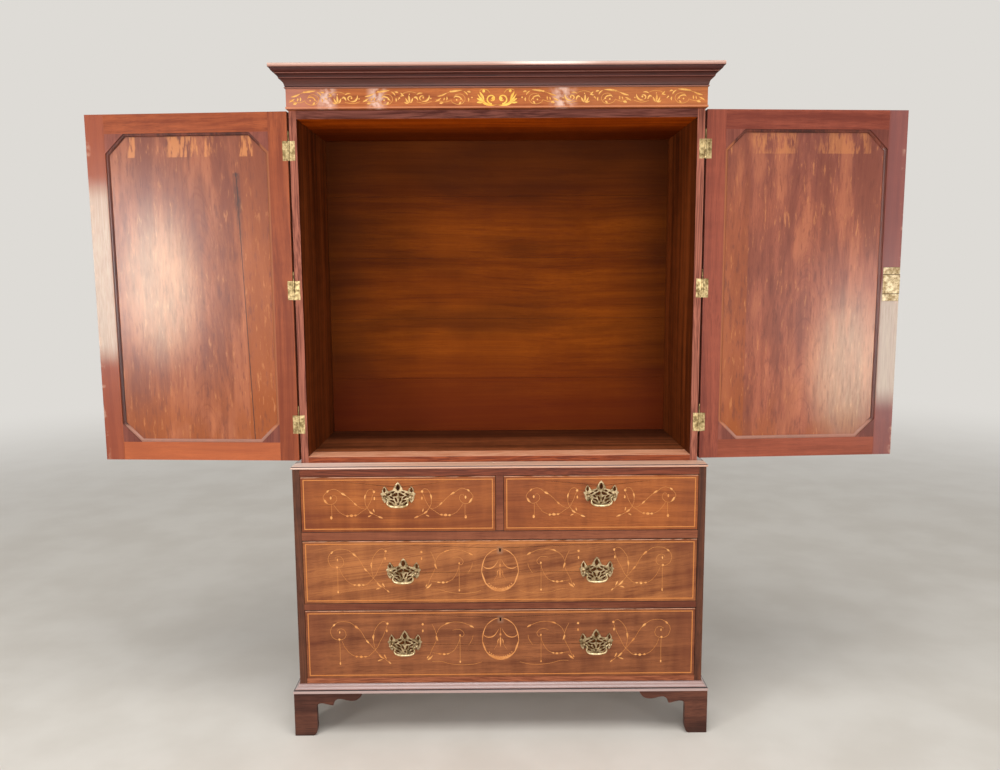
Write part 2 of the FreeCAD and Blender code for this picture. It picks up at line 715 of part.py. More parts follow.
def at_screws(name, hand, solid):
    """The screw at each hole of the three leaves of a door."""
    copies = []
    for level, height in hinge_heights.items():
        for index in range(SCREWS):
            x, z = screw_place(hand, index)
            copies.append(copy(f"{name}_{level}_{index}", solid, {"Placement.Base.x": x,
                                                                  "Placement.Base.z": f"{height} + {z}"}))
    return copies


sides = {"left": 1, "right": -1}
pins = {side: {"Placement.Base.x": f"{-hand} * {pin_x}", "Placement.Base.y": pin_y}
        for side, hand in sides.items()}
swings = {side: dict(pins[side]) | {"Placement.Rotation.Angle": f"{-hand} * door_open_angle"}
          for side, hand in sides.items()}


def placed(name, solids, places):
    """Solids moved together to a hinge line."""
    several = group(name, solids)
    for place, text in places.items():
        several.setExpression(place, bound(text))
    return several


case_screw = hinge_screw("case_hinge_screw", 1)
door_screw = hinge_screw("door_hinge_screw", -1)
case_leaves, case_screws, hinge_pins = [], [], []
for side, hand in sides.items():
    leaf = hinge_leaf(f"case_{side}_leaf", hand, 1, range(0, KNUCKLES, 2), "pin_radius")
    case_leaves.append(placed(f"case_{side}_leaves", at_hinges(f"case_{side}_leaf_at", leaf), pins[side]))
    pin = rod(f"{side}_pin", "0", "0", "-hinge_height / 2", "pin_radius", "hinge_height")
    hinge_pins.append(placed(f"{side}_pins", at_hinges(f"{side}_pin_at", pin), pins[side]))
    screws = at_screws(f"case_{side}_screw", hand, case_screw)
    case_screws.append(placed(f"case_{side}_screws", screws, pins[side]))
node("case_hinge_leaves", case_leaves)
node("hinge_pins", hinge_pins)
node("case_hinge_screws", case_screws)

# Doors, drawn shut about the hinge line and swung open with it
door_inner = "(-door_gap / 2)"
door_outer = f"({door_inner} - door_thickness)"
door_end = f"(pin_offset + {door_width})"
layer = "((door_thickness - panel_thickness) / 2)"
panel_y = f"({door_outer} + {layer})"
groove = "(panel_tongue + tongue_gap)"
opening_x = "(pin_offset + stile_width)"
opening_width = f"({door_width} - 2 * stile_width)"
opening_foot = f"({door_foot} + rail_width)"
opening_height = "(door_height - 2 * rail_width)"


def octagon(hand, inset):
    """Door opening with cut corners, drawn in by an inset all round."""
    low_x, high_x = f"{opening_x} + {inset}", f"{opening_x} + {opening_width} - {inset}"
    low_z, high_z = f"{opening_foot} + {inset}", f"{opening_foot} + {opening_height} - {inset}"
    leg = f"(corner_leg - {inset} * (2 - sqrt(2)))"
    corners = [(f"{low_x} + {leg}", low_z), (f"{high_x} - {leg}", low_z), (high_x, f"{low_z} + {leg}"),
               (high_x, f"{high_z} - {leg}"), (f"{high_x} - {leg}", high_z), (f"{low_x} + {leg}", high_z),
               (low_x, f"{high_z} - {leg}"), (low_x, f"{low_z} + {leg}")]
    return [(f"{hand} * ({across})", up) for across, up in corners]


def octagon_moulding(name, hand, y_low, exposed):
    """Planted moulding round the opening, bevelled on the edge that faces out of the door."""
    body = slab(name, [octagon(hand, "0"), octagon(hand, "moulding_width")], y_low, "moulding_height")
    blank = body.Tip
    limits = blank.Shape.BoundBox
    face_y = limits.YMin if exposed < 0 else limits.YMax
    room = number("moulding_width / 2")

    def inner_and_exposed(point):
        inner_x = limits.XMin + room < point.x < limits.XMax - room
        inner_z = limits.ZMin + room < point.z < limits.ZMax - room
        return inner_x and inner_z and abs(point.y - face_y) < 0.001

    edges = [f"Edge{index}" for index, edge in enumerate(blank.Shape.Edges, start=1)
             if all(inner_and_exposed(vertex.Point) for vertex in edge.Vertexes)]
    bevel = body.newObject("PartDesign::Chamfer", name + "_bevel")
    bevel.Base = (blank, edges)
    bevel.setExpression("Size", bound("moulding_chamfer"))
    doc.recompute()
    return body


def corner_blocks(name, hand):
    """Triangular blocks that fill the corners of the opening on both faces of the panel."""
    blocks = []
    far_x, far_z = f"{opening_x} + {opening_width}", f"{opening_foot} + {opening_height}"
    for face, y_low in (("inner", f"{panel_y} + panel_thickness"), ("outer", door_outer)):
        for corner, x, z, to_x, to_z in (("a", opening_x, opening_foot, "+", "+"),
                                         ("b", far_x, opening_foot, "-", "+"),
                                         ("c", far_x, far_z, "-", "-"),
                                         ("d", opening_x, far_z, "+", "-")):
            outline = [(x, z), (f"{x} {to_x} corner_leg", z), (x, f"{z} {to_z} corner_leg")]
            blocks.append(slab(f"{name}_{face}_{corner}",
                               [[(f"{hand} * ({across})", up) for across, up in outline]], y_low, layer))
    return blocks


def flush_bolt(name, hand, level):
    """Round bolt in the meeting stile with a thumb stud at the stile's edge, and the hole it slides in."""
    up = level == "top"
    x = f"({door_end} - flush_bolt_inset)"
    y = f"({door_outer} + door_thickness / 2)"
    low = f"({door_head} - bolt_gap - flush_bolt_length)" if up else f"({door_foot} + bolt_gap)"
    stud_z = f"({low} + flush_bolt_stud * 2)" if up else f"({low} + flush_bolt_length - flush_bolt_stud * 2)"
    stud_length = "(flush_bolt_inset - keep_gap)"
    side_x = f"{hand} * {x}"
    stud_x = mirrored(hand, x, stud_length)
    bolt = join(name, [rod(name + "_rod", side_x, y, low, "flush_bolt_radius", "flush_bolt_length"),
                       rod(name + "_stud", stud_x, y, stud_z, "flush_bolt_stud", stud_length, "X")])
    bore_low = f"{low} - bolt_gap" if up else door_foot
    slot_low = f"{stud_z} - flush_bolt_stud - bolt_gap - {'0' if up else 'flush_bolt_travel'}"
    slot_height = "2 * (flush_bolt_stud + bolt_gap) + flush_bolt_travel"
    slot_width = "2 * (flush_bolt_stud + bolt_gap)"
    tools = [rod(name + "_bore", side_x, y, bore_low, "flush_bolt_radius + flush_bolt_clearance",
                 "flush_bolt_length + 2 * bolt_gap"),
             box(name + "_slot", mirrored(hand, x, "flush_bolt_inset"), f"{y} - ({slot_width}) / 2", slot_low,
                 "flush_bolt_inset", slot_width, slot_height)]
    return bolt, tools


lock_z = f"({door_foot} + door_lock_height)"
lock_bolt_y = f"({door_inner} - (door_lock_case_depth + door_lock_plate_thickness) / 2)"


def door_lock(hand):
    """Lock let into the meeting stile, of plate, case and raised cap, with its bolt and its pockets."""
    plate_x = f"({door_end} - door_lock_plate_width)"
    case_x = f"({door_end} - door_lock_case_width)"
    half, cap = "door_lock_plate_length / 2", "door_lock_cap_length / 2"
    plate = ("door_lock_plate_width", "door_lock_plate_thickness", "door_lock_plate_length")
    case = ("door_lock_case_width", "door_lock_case_depth", "door_lock_cap_length")
    spots = {"plate": (mirrored(hand, plate_x, plate[0]), f"{door_inner} - door_lock_plate_thickness",
                       f"{lock_z} - {half}", *plate),
             "case": (mirrored(hand, case_x, case[0]), f"{door_inner} - door_lock_case_depth",
                      f"{lock_z} - {cap}", *case)}
    raised = box("door_lock_cap", mirrored(hand, case_x, case[0]), door_inner, f"{lock_z} - {cap}",
                 case[0], "door_lock_cap_proud", case[2])
    let_in = [box(f"door_lock_{part}", *spot) for part, spot in spots.items()]
    blank = join("door_lock_blank", let_in + [raised])
    way = "door_lock_bolt_length + bolt_gap"
    tall, thick = "door_lock_bolt_height", "door_lock_bolt_thickness"
    bolt_x = f"{door_end} - bolt_gap - door_lock_bolt_length"
    channel_x = f"{door_end} - bolt_gap - ({way})"
    channel = box("door_lock_channel", mirrored(hand, channel_x, f"{way} + bolt_gap"),
                  f"{lock_bolt_y} - {thick} / 2 - bolt_gap", f"{lock_z} - {tall} / 2 - bolt_gap",
                  f"{way} + bolt_gap", f"{thick} + 2 * bolt_gap", f"{tall} + 2 * bolt_gap")
    bolt = box("door_lock_bar", mirrored(hand, bolt_x, "door_lock_bolt_length"),
               f"{lock_bolt_y} - {thick} / 2", f"{lock_z} - {tall} / 2", "door_lock_bolt_length", thick, tall)
    pockets = [box(f"door_lock_{part}_pocket", *spot) for part, spot in spots.items()]
    key = rod("door_keyhole", f"{hand} * ({door_end} - door_lock_case_width / 2)", door_outer, lock_z,
              "keyhole_radius", "door_thickness - door_lock_case_depth", "Y")
    return cut("door_lock_whole", blank, [channel]), bolt, pockets + [key]


def lock_keep(hand):
    """Mortise in the left door's meeting edge for the lock bolt."""
    depth = "door_lock_travel + keep_gap"
    tall = "(door_lock_bolt_height + 2 * keep_gap)"
    thick = "(door_lock_bolt_thickness + 2 * keep_gap)"
    return box("door_lock_keep", mirrored(hand, f"{door_end} - ({depth})", depth),
               f"{lock_bolt_y} - {thick} / 2", f"{lock_z} - {tall} / 2", depth, thick, tall)


for side, hand in sides.items():
    name = f"{side}_door"
    stile_x = f"({door_end} - stile_width)"
    stile_size = ("stile_width", "door_thickness", "door_height")
    hinge_stile = box(f"{name}_hinge_stile_board", mirrored(hand, "pin_offset", "stile_width"),
                      door_outer, door_foot, *stile_size)
    meeting_stile = box(f"{name}_meeting_stile_board", mirrored(hand, stile_x, "stile_width"),
                        door_outer, door_foot, *stile_size)
    hinge_tools = [box(f"{name}_{level}_leaf_recess", mirrored(hand, "pin_offset", "leaf_width"),
                       f"{door_inner} - {leaf_depth}", f"{height} - hinge_height / 2",
                       "leaf_width", leaf_depth, "hinge_height") for level, height in hinge_heights.items()]
    groove_foot = f"{opening_foot} - {groove}"
    groove_size = (groove, "panel_thickness", f"{opening_height} + 2 * {groove}")
    hinge_tools.append(box(f"{name}_hinge_groove", mirrored(hand, f"{opening_x} - {groove}", groove),
                           panel_y, groove_foot, *groove_size))
    meeting_tools = [box(f"{name}_meeting_groove", mirrored(hand, stile_x, groove),
                         panel_y, groove_foot, *groove_size)]
    if side == "left":
        top_bolt, top_tools = flush_bolt("top_bolt", hand, "top")
        bottom_bolt, bottom_tools = flush_bolt("bottom_bolt", hand, "bottom")
        meeting_tools += top_tools + bottom_tools + [lock_keep(hand)]
    else:
        lock, lock_bolt, lock_tools = door_lock(hand)
        meeting_tools += lock_tools
    node(f"{name}_stiles", [cut(f"{name}_hinge_stile", hinge_stile, hinge_tools),
                            cut(f"{name}_meeting_stile", meeting_stile, meeting_tools)], swings[side])

    rails = []
    for level, z, groove_z in (("bottom", door_foot, f"{opening_foot} - {groove}"),
                               ("top", f"{door_head} - rail_width", f"{door_head} - rail_width")):
        board = box(f"{name}_{level}_rail_board", mirrored(hand, opening_x, opening_width), door_outer, z,
                    opening_width, "door_thickness", "rail_width")
        channel = box(f"{name}_{level}_groove", mirrored(hand, opening_x, opening_width), panel_y, groove_z,
                      opening_width, "panel_thickness", groove)
        rails.append(cut(f"{name}_{level}_rail", board, [channel]))
    node(f"{name}_rails", rails, swings[side])

    panel_width = f"({opening_width} + 2 * panel_tongue)"
    panel = box(f"{name}_panel_board", mirrored(hand, f"{opening_x} - panel_tongue", panel_width), panel_y,
                f"{opening_foot} - panel_tongue", panel_width, "panel_thickness",
                f"{opening_height} + 2 * panel_tongue")
    node(f"{name}_panel", [panel], swings[side])
    node(f"{name}_corners", corner_blocks(f"{name}_corner", hand), swings[side])
    node(f"{name}_moulding", [
        octagon_moulding(f"{name}_inner_moulding", hand, f"{panel_y} + panel_thickness", 1),
        octagon_moulding(f"{name}_outer_moulding", hand, f"{panel_y} - moulding_height", -1)], swings[side])

    leaf = hinge_leaf(f"{name}_leaf", hand, -1, range(1, KNUCKLES, 2), "pin_radius + pin_clearance")
    node(f"{name}_hinge_leaves", at_hinges(f"{name}_leaf_at", leaf), swings[side])
    node(f"{name}_hinge_screws", at_screws(f"{name}_screw", hand, door_screw), swings[side])

node("left_door_top_bolt", [top_bolt], swings["left"])
node("left_door_bottom_bolt", [bottom_bolt], swings["left"])
node("door_lock", [lock], swings["right"])
node("door_lock_bolt", [lock_bolt], swings["right"])


def plate_spot(across, up):
    """Point of a backplate: across in shares of the way to a post, up in shares of its rise or its drop."""
    return f"{across} * handle_span / 2", (f"{up} * plate_rise" if up > 0 else f"{up} * plate_drop")


plate_keyhole = plate_spot(0, 0.57)[1]


def plate_outline():
    """Crown-shaped backplate, traced from its lower tip up one side and down the other."""
    half = [(0.36, -0.81), (0.67, -0.59), (0.87, -0.38), (1.03, -0.59), (1.21, -0.32), (1.28, -0.08),
            (1.36, 0.16), (1.19, 0.33), (1.21, 0.45), (1.03, 0.7), (0.82, 0.48), (0.72, 0.32), (0.51, 0.38),
            (0.33, 0.52), (0.21, 0.61), (0.19, 0.75)]
    right = [plate_spot(across, up) for across, up in half]
    left = [(f"-({x})", z) for x, z in reversed(right)]
    return [("0", "-plate_drop")] + right + [("0", "plate_rise")] + left


# Round piercings: across, up and radius, the radius in shares of the way to a post
PIERCINGS = [(1.03, 0.48, 0.08), (0.41, 0.18, 0.1), (0.62, -0.16, 0.1), (0.23, -0.16, 0.1),
             (0.38, -0.51, 0.09)]
holes = [(*plate_spot(side * across, up), f"{radius} * handle_span / 2")
         for across, up, radius in PIERCINGS for side in (1, -1)]
plate_post_holes = [(f"{sign}handle_span / 2", "0", "post_radius") for sign in ("", "-")]


def backplate(name, keyed):
    """Pierced brass plate behind a bail, with a keyhole where the lock is behind it."""
    key = [("0", plate_keyhole, "keyhole_radius")] if keyed else []
    outlines = [plate_outline()] + holes + plate_post_holes + key
    return slab(name, outlines, "-plate_thickness", "plate_thickness")


def post(name):
    """Handle post: a shank through the drawer front, a stem and a bored knob that holds the bail."""
    knob = doc.addObject("Part::Sphere", name + "_knob")
    knob.setExpression("Radius", bound("knob_radius"))
    knob.setExpression("Placement.Base.y", bound("-pivot_reach"))
    stem = rod(name + "_stem", "0", "-pivot_reach", "0", "post_radius", "pivot_reach", "Y")
    shank = rod(name + "_shank", "0", "0", "0", "shank_radius", "front_thickness + nut_height", "Y")
    bore = rod(name + "_bore", "-knob_radius", "-pivot_reach", "0", "bail_radius + bail_clearance",
               "2 * knob_radius", "X")
    return cut(name, join(name + "_blank", [knob, stem, shank]), [bore])


def nut(name):
    """Round nut on a post's shank, inside the drawer front."""
    disc = rod(name + "_disc", "0", "front_thickness", "0", "nut_radius", "nut_height", "Y")
    hole = rod(name + "_hole", "0", "front_thickness", "0", "shank_radius", "nut_height", "Y")
    return cut(name, disc, [hole])


def swan_neck_bail(name):
    """Bail of round wire: pins in the two knobs, a curl down from each, and a wide bow between them."""
    body = new_body(name)
    path = sketch_on(body, name + "_path", "XZ_Plane")
    pin_end = "(handle_span / 2 + bail_pin)"
    curl_x = "(handle_span / 2 - knob_radius - bail_curl / 2)"
    bow = "(bail_drop / (1 + sqrt(2) / 2) - bail_curl)"
    turn_x = f"({curl_x} - bail_curl * sqrt(2) / 2)"
    turn_z = "(-bail_curl * (1 + sqrt(2) / 2))"
    foot_x = f"({turn_x} - {bow} * sqrt(2) / 2)"
    trace(path, [(pin_end, "0"), (curl_x, "0", "bail_curl", 1), (turn_x, turn_z, bow, -1),
                 (foot_x, "-bail_drop"), (f"-{foot_x}", "-bail_drop", bow, -1),
                 (f"-{turn_x}", turn_z, "bail_curl", 1), (f"-{curl_x}", "0"), (f"-{pin_end}", "0")],
          closed=False)
    section = sketch_on(body, name + "_section", "YZ_Plane", pin_end)
    circle(section, "0", "0", "bail_radius")
    doc.recompute()
    sweep = body.newObject("PartDesign::AdditivePipe", name + "_sweep")
    sweep.Profile = section
    sweep.Spine = (path, [f"Edge{index}" for index in range(1, 8)])
    doc.recompute()
    return body


# Handles and drawer locks, drawn once and repeated on every drawer
keyed_plate = backplate("keyed_backplate", True)
plain_plate = backplate("plain_backplate", False)
handle_post = post("handle_post")
post_nut = nut("post_nut")
bail = swan_neck_bail("bail")

drawers = [
    # name, low X, high X, floor, opening and handles as (label, X)
    ("left_short_drawer", f"-{lower_inner}", "-divider_thickness / 2", short_floor, "short_opening",
     [("", f"-{short_centre}")]),
    ("right_short_drawer", "divider_thickness / 2", lower_inner, short_floor, "short_opening",
     [("", short_centre)]),
    ("middle_drawer", f"-{lower_inner}", lower_inner, middle_floor, "middle_opening",
     [("_left", "-long_handle_offset"), ("_right", "long_handle_offset")]),
    ("bottom_drawer", f"-{lower_inner}", lower_inner, bottom_floor, "bottom_opening",
     [("_left", "-long_handle_offset"), ("_right", "long_handle_offset")]),
]
front_back = f"({case_front} + front_thickness)"
drawer_length = f"({back_plane} - {front_back} - drawer_back_gap)"

for name, low_x, high_x, floor, opening, handles in drawers:
    short = len(handles) == 1
    front_x = f"({low_x} + drawer_gap)"
    front_width = f"({high_x} - ({low_x}) - 2 * drawer_gap)"
    foot = f"({floor} + drawer_lift)"
    front_height = f"({opening} - drawer_lift - drawer_head_gap)"
    head = f"({foot} + {front_height})"
    middle_x = f"(({low_x} + ({high_x})) / 2)"
    handle_z = f"({floor} + {opening} / 2 + {'short_handle_rise' if short else '0'})"
    key_z = f"({handle_z} + {plate_keyhole})" if short else f"({head} - keyhole_drop)"
    lock_x = f"{middle_x} - lock_width / 2"
    lock_spot = (lock_x, f"{front_back} - lock_depth", f"{head} - lock_height",
                 "lock_width", "lock_depth", "lock_height")

    # front board, mortised for its lock and drilled for the key and the handle posts
    board = box(f"{name}_front_board", front_x, case_front, foot,
                front_width, "front_thickness", front_height)
    tools = [box(f"{name}_lock_mortise", *lock_spot),
             rod(f"{name}_keyhole", middle_x, case_front, key_z, "keyhole_radius",
                 "front_thickness - lock_depth", "Y")]
    for label, x in handles:
        for end, sign in (("a", "-"), ("b", "+")):
            tools.append(rod(f"{name}{label}_post_hole_{end}", f"{x} {sign} handle_span / 2", case_front,
                             handle_z, "shank_radius", "front_thickness", "Y"))
    node(f"{name}_front", [cut(f"{name}_front_cut", board, tools)])

    # sides, back and bottom
    side_x = f"({front_x} + drawer_side_inset)"
    side_height = f"({front_height} - drawer_side_drop)"
    far_x = f"({front_x} + {front_width} - drawer_side_inset - drawer_side_thickness)"
    inner_x = f"({side_x} + drawer_side_thickness)"
    inner_width = f"({front_width} - 2 * (drawer_side_inset + drawer_side_thickness))"
    bottom_z = f"({foot} + drawer_bottom_rise)"
    back_z = f"({bottom_z} + drawer_bottom_thickness)"
    node(f"{name}_box", [
        box(f"{name}_left_side", side_x, front_back, foot,
            "drawer_side_thickness", drawer_length, side_height),
        box(f"{name}_right_side", far_x, front_back, foot,
            "drawer_side_thickness", drawer_length, side_height),
        box(f"{name}_back", inner_x, f"{front_back} + {drawer_length} - drawer_back_thickness", back_z,
            inner_width, "drawer_back_thickness", f"{foot} + {side_height} - {back_z} - drawer_side_drop"),
        box(f"{name}_bottom", inner_x, front_back, bottom_z,
            inner_width, drawer_length, "drawer_bottom_thickness"),
    ])

    # lock case in the front's top edge, and its bolt
    channel_width = "(lock_bolt_width + 2 * bolt_gap)"
    channel_depth = "(lock_bolt_thickness + 2 * bolt_gap)"
    lock_case = box(f"{name}_lock_case", *lock_spot)
    channel = box(f"{name}_lock_channel", f"{middle_x} - {channel_width} / 2",
                  f"{lock_plane} - {channel_depth} / 2", f"{head} - lock_bolt_height - 2 * bolt_gap",
                  channel_width, channel_depth, "lock_bolt_height + 2 * bolt_gap")
    lock_bar = box(f"{name}_lock_bar", f"{middle_x} - lock_bolt_width / 2",
                   f"{lock_plane} - lock_bolt_thickness / 2", f"{head} - lock_bolt_height - bolt_gap",
                   "lock_bolt_width", "lock_bolt_thickness", "lock_bolt_height")
    node(f"{name}_lock_bolt", [lock_bar])

    # plates, posts and nuts, and a bail in each pair of knobs
    brasses = [cut(f"{name}_lock", lock_case, [channel])]
    for label, x in handles:
        at = {"Placement.Base.x": x, "Placement.Base.y": case_front, "Placement.Base.z": handle_z}
        brasses.append(copy(f"{name}{label}_plate", keyed_plate if short else plain_plate, at))
        for end, sign in (("a", "-"), ("b", "+")):
            at_post = at | {"Placement.Base.x": f"{x} {sign} handle_span / 2"}
            brasses.append(copy(f"{name}{label}_post_{end}", handle_post, at_post))
            brasses.append(copy(f"{name}{label}_nut_{end}", post_nut, at_post))
        node(f"{name}{label}_bail", [copy(f"{name}{label}_bail_wire", bail, at)],
             {"Placement.Base.y": "-pivot_reach"})
    node(f"{name}_brasses", brasses)

doc.recompute()
faults = [item.Name for item in doc.Objects if "Invalid" in item.State or "Error" in item.State]
faults += [piece.Label for piece in nodes if piece.Shape.isNull() or not piece.Shape.isValid()]
if faults:
    raise RuntimeError("failed pieces: " + ", ".join(faults))

os.makedirs("parts", exist_ok=True)
for piece in nodes:
    piece.Shape.exportStep(f"parts/{piece.Label}.step")
print(len(nodes), "pieces")
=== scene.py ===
import math

import bmesh
import bpy
import numpy as np
from mathutils import Matrix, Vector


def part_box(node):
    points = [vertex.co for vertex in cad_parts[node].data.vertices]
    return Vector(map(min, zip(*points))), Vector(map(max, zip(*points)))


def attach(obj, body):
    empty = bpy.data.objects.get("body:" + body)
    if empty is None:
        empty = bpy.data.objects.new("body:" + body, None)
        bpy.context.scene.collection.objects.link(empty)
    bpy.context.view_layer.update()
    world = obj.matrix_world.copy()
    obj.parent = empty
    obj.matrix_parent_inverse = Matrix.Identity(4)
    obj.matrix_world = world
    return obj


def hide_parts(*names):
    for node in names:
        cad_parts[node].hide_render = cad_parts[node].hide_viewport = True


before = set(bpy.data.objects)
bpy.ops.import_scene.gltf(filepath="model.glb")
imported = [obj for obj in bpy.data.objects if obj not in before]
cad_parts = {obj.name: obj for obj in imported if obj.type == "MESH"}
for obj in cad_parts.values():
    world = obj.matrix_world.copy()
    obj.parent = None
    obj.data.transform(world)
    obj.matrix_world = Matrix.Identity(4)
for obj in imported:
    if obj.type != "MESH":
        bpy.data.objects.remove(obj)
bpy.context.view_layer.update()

mm = 0.001

# Chest carcase
# Two mahogany sides with a top and a bottom board between them, dovetailed and glued. The back is of plain
# upright boards nailed into rebates, which were never polished.


def tint(red, green, blue):
    """Colour from its everyday 0 to 255 reading, turned into the linear light that the nodes mix."""
    share = np.array([red, green, blue]) / 255
    light = np.where(share <= 0.04045, share / 12.92, ((share + 0.055) / 1.055) ** 2.4)
    return (*light.tolist(), 1.0)


class Value:
    """One output of a node. Arithmetic on values adds Math nodes beside it."""

    def __init__(self, nodes, socket):
        self.nodes = nodes
        self.socket = socket

    def maths(self, operation, first, second=0.0):
        return self.nodes.node("ShaderNodeMath", {"operation": operation}, {0: first, 1: second})

    def __add__(self, other):
        return self.maths("ADD", self, other)

    __radd__ = __add__

    def __sub__(self, other):
        return self.maths("SUBTRACT", self, other)

    def __rsub__(self, other):
        return self.maths("SUBTRACT", other, self)

    def __mul__(self, other):
        return self.maths("MULTIPLY", self, other)

    __rmul__ = __mul__

    def __gt__(self, other):
        return self.maths("GREATER_THAN", self, other)

    def __lt__(self, other):
        return self.maths("LESS_THAN", self, other)

    def __abs__(self):
        return self.maths("ABSOLUTE", self)

    def root(self):
        return self.maths("SQRT", self)

    def rise(self, low, high):
        """Smooth step from 0 at low to 1 at high."""
        return self.nodes.node("ShaderNodeMapRange", {"interpolation_type": "SMOOTHSTEP"},
                               {"Value": self, "From Min": low, "From Max": high})

    def fall(self, low, high):
        """Smooth step from 1 at low to 0 at high."""
        return 1.0 - self.rise(low, high)

    def band(self, low, high, soft=0.0004):
        """1 from low to high and 0 outside, with soft edges."""
        return self.rise(low - soft, low) * self.fall(high, high + soft)

    def mix(self, first, second):
        """Colour that goes from first to second as this value goes from 0 to 1."""
        return self.nodes.node("ShaderNodeMix", {"data_type": "RGBA"}, {0: self, 6: first, 7: second}, 2)


class Nodes:
    """A tree of nodes in the making."""

    def __init__(self, tree):
        self.tree = tree

    def node(self, kind, settings=(), sockets=(), output=0):
        made = self.tree.nodes.new(kind)
        for key, setting in dict(settings).items():
            setattr(made, key, setting)
        for key, amount in dict(sockets).items():
            if isinstance(amount, Value):
                self.tree.links.new(amount.socket, made.inputs[key])
            else:
                made.inputs[key].default_value = amount
        return Value(self, made.outputs[output])


class Finish(Nodes):
    """A material in the making: its nodes, and the colour, roughness and height that feed its shader."""

    def __init__(self, name, evenly=()):
        self.material = bpy.data.materials.new(name)
        self.material.use_nodes = True
        super().__init__(self.material.node_tree)
        self.shader = self.tree.nodes["Principled BSDF"]
        for key, amount in dict(evenly).items():
            self.shader.inputs[key].default_value = amount
        self.place = self.node("ShaderNodeTexCoord", output="Object")
        self.colour = self.rough = self.height = None

    def axis(self, letter):
        return self.node("ShaderNodeSeparateXYZ", (), {0: self.place}, letter)

    def stretched(self, scale, shift=0.0, place=None):
        """Coordinates times a scale of their own on each axis, and moved along."""
        return self.node("ShaderNodeMapping", (), {"Vector": place or self.place, "Scale": scale,
                                                   "Location": (shift, 1.7 * shift, 0.6 * shift)})

    def either(self, mask, first, second):
        """Coordinates that are first where the mask is 0 and second where it is 1."""
        return self.node("ShaderNodeMix", {"data_type": "VECTOR"}, {0: mask, 4: first, 5: second}, 1)

    def noise(self, where, scale, detail=2.0, coarse=0.5, output=0):
        return self.node("ShaderNodeTexNoise", (), {"Vector": where, "Scale": scale, "Detail": detail,
                                                    "Roughness": coarse}, output)

    def wear(self, mask, tone):
        """Lays a tone over the colour where the mask says."""
        self.colour = mask.mix(self.colour, tone)
        return self

    def joints(self, letter, places, half_width, tone, strength=0.8):
        """Lays lines of a tone where boards meet, at places on one axis in millimetres."""
        for place in places:
            line = self.axis(letter).band((place - half_width) * mm, (place + half_width) * mm)
            self.wear(strength * line, tone)
        return self

    def done(self, depth=0.0004, strength=0.4):
        """Joins the colour, the roughness and a bump of the height to the shader."""
        bump = self.node("ShaderNodeBump", (), {"Strength": strength, "Distance": depth,
                                                "Height": self.height})
        feeds = {"Base Color": self.colour, "Roughness": self.rough, "Normal": bump}
        for key, value in feeds.items():
            self.tree.links.new(value.socket, self.shader.inputs[key])
        return self.material


ALONG = 0.03


def wood(name, grain, dark, fair, shift=0.0, mottle=0.3, polish=0.12, dull=0.42, shine=0.16, returns=None,
         even=0.0, lean=0.0, back_at=None):
    """Wood whose grain runs on one axis. Noise on coordinates squeezed along the grain gives bands, streaks,
    lines and pores, noise squeezed across it gives a cross mottle, and slow blotches of age lie over the sum.
    With returns, a half width and a front in millimetres, the grain turns to Y beyond the mitre of a corner.
    Even softens it, lean lets it climb to the right, and behind the depth back_at it runs across."""
    finish = Finish(name, {"Coat Weight": polish, "Coat Roughness": 0.24, "Specular IOR Level": shine})
    squeeze = [ALONG if letter == grain else 1.0 for letter in "XYZ"]
    cross = [1.0 if letter == grain else 0.22 for letter in "XYZ"]
    grown = finish.place
    if lean:
        level = finish.axis("Z") - lean * finish.axis("X")
        grown = finish.node("ShaderNodeCombineXYZ", (), {0: finish.axis("X"), 1: finish.axis("Y"), 2: level})
    along = finish.stretched(squeeze, shift, grown)
    if returns:
        beyond = abs(finish.axis("X")) + finish.axis("Y") - sum(returns) * mm
        along = finish.either(beyond > 0, along, finish.stretched((1.0, ALONG, 1.0), shift))
    if back_at:
        turned_grain = finish.stretched((ALONG, 1.0, 1.0), shift)
        along = finish.either(finish.axis("Y") > back_at, along, turned_grain)
    wander = finish.noise(finish.place, 1.7, 1.0, output=1)
    grained = finish.node("ShaderNodeVectorMath", {"operation": "MULTIPLY_ADD"},
                          {0: wander, 1: (0.045, 0.045, 0.045), 2: along})
    bands = finish.noise(grained, 9.0, 2.0)
    streaks = finish.noise(grained, 44.0, 5.0, 0.66)
    lines = finish.noise(grained, 290.0, 3.0, 0.62)
    pores = finish.noise(along, 2600.0, 1.0).rise(0.56, 0.72)
    flame = finish.noise(finish.stretched(cross, shift + 3, grown), 26.0, 3.0)
    age = finish.noise(finish.place, 3.1, 4.0, 0.6)
    tone = 0.3 * bands + (0.45 - 0.35 * mottle) * streaks + 0.25 * lines + 0.35 * mottle * flame
    deep = tuple(0.45 * part for part in dark[:3]) + (1.0,)
    finish.colour = tone.rise(0.42 - even, 0.58 + even).mix(dark, fair)
    finish.wear((0.7 - 3.0 * even) * lines.rise(0.5, 0.68), dark)
    finish.wear(0.35 * age.rise(0.48, 0.72), dark)
    finish.wear(0.3 * pores, deep)
    finish.rough = dull + 0.3 * lines + 0.1 * age - 0.2
    finish.height = 0.6 * lines - 0.5 * pores
    finish.streaks, finish.age, finish.lines = streaks, age, lines
    return finish


def lined(finish, dark, fair):
    """Colour of a polished edge, from dark to fair along the fine lines of the wood."""
    return finish.lines.rise(0.35, 0.65).mix(dark, fair)


def take_off_arrises(piece, radius, angle):
    """Rounds the edges of a piece that turn by more than an angle."""
    bevel = piece.modifiers.new("arris", "BEVEL")
    bevel.width = radius * mm
    bevel.segments = 2
    bevel.limit_method = "ANGLE"
    bevel.angle_limit = math.radians(angle)


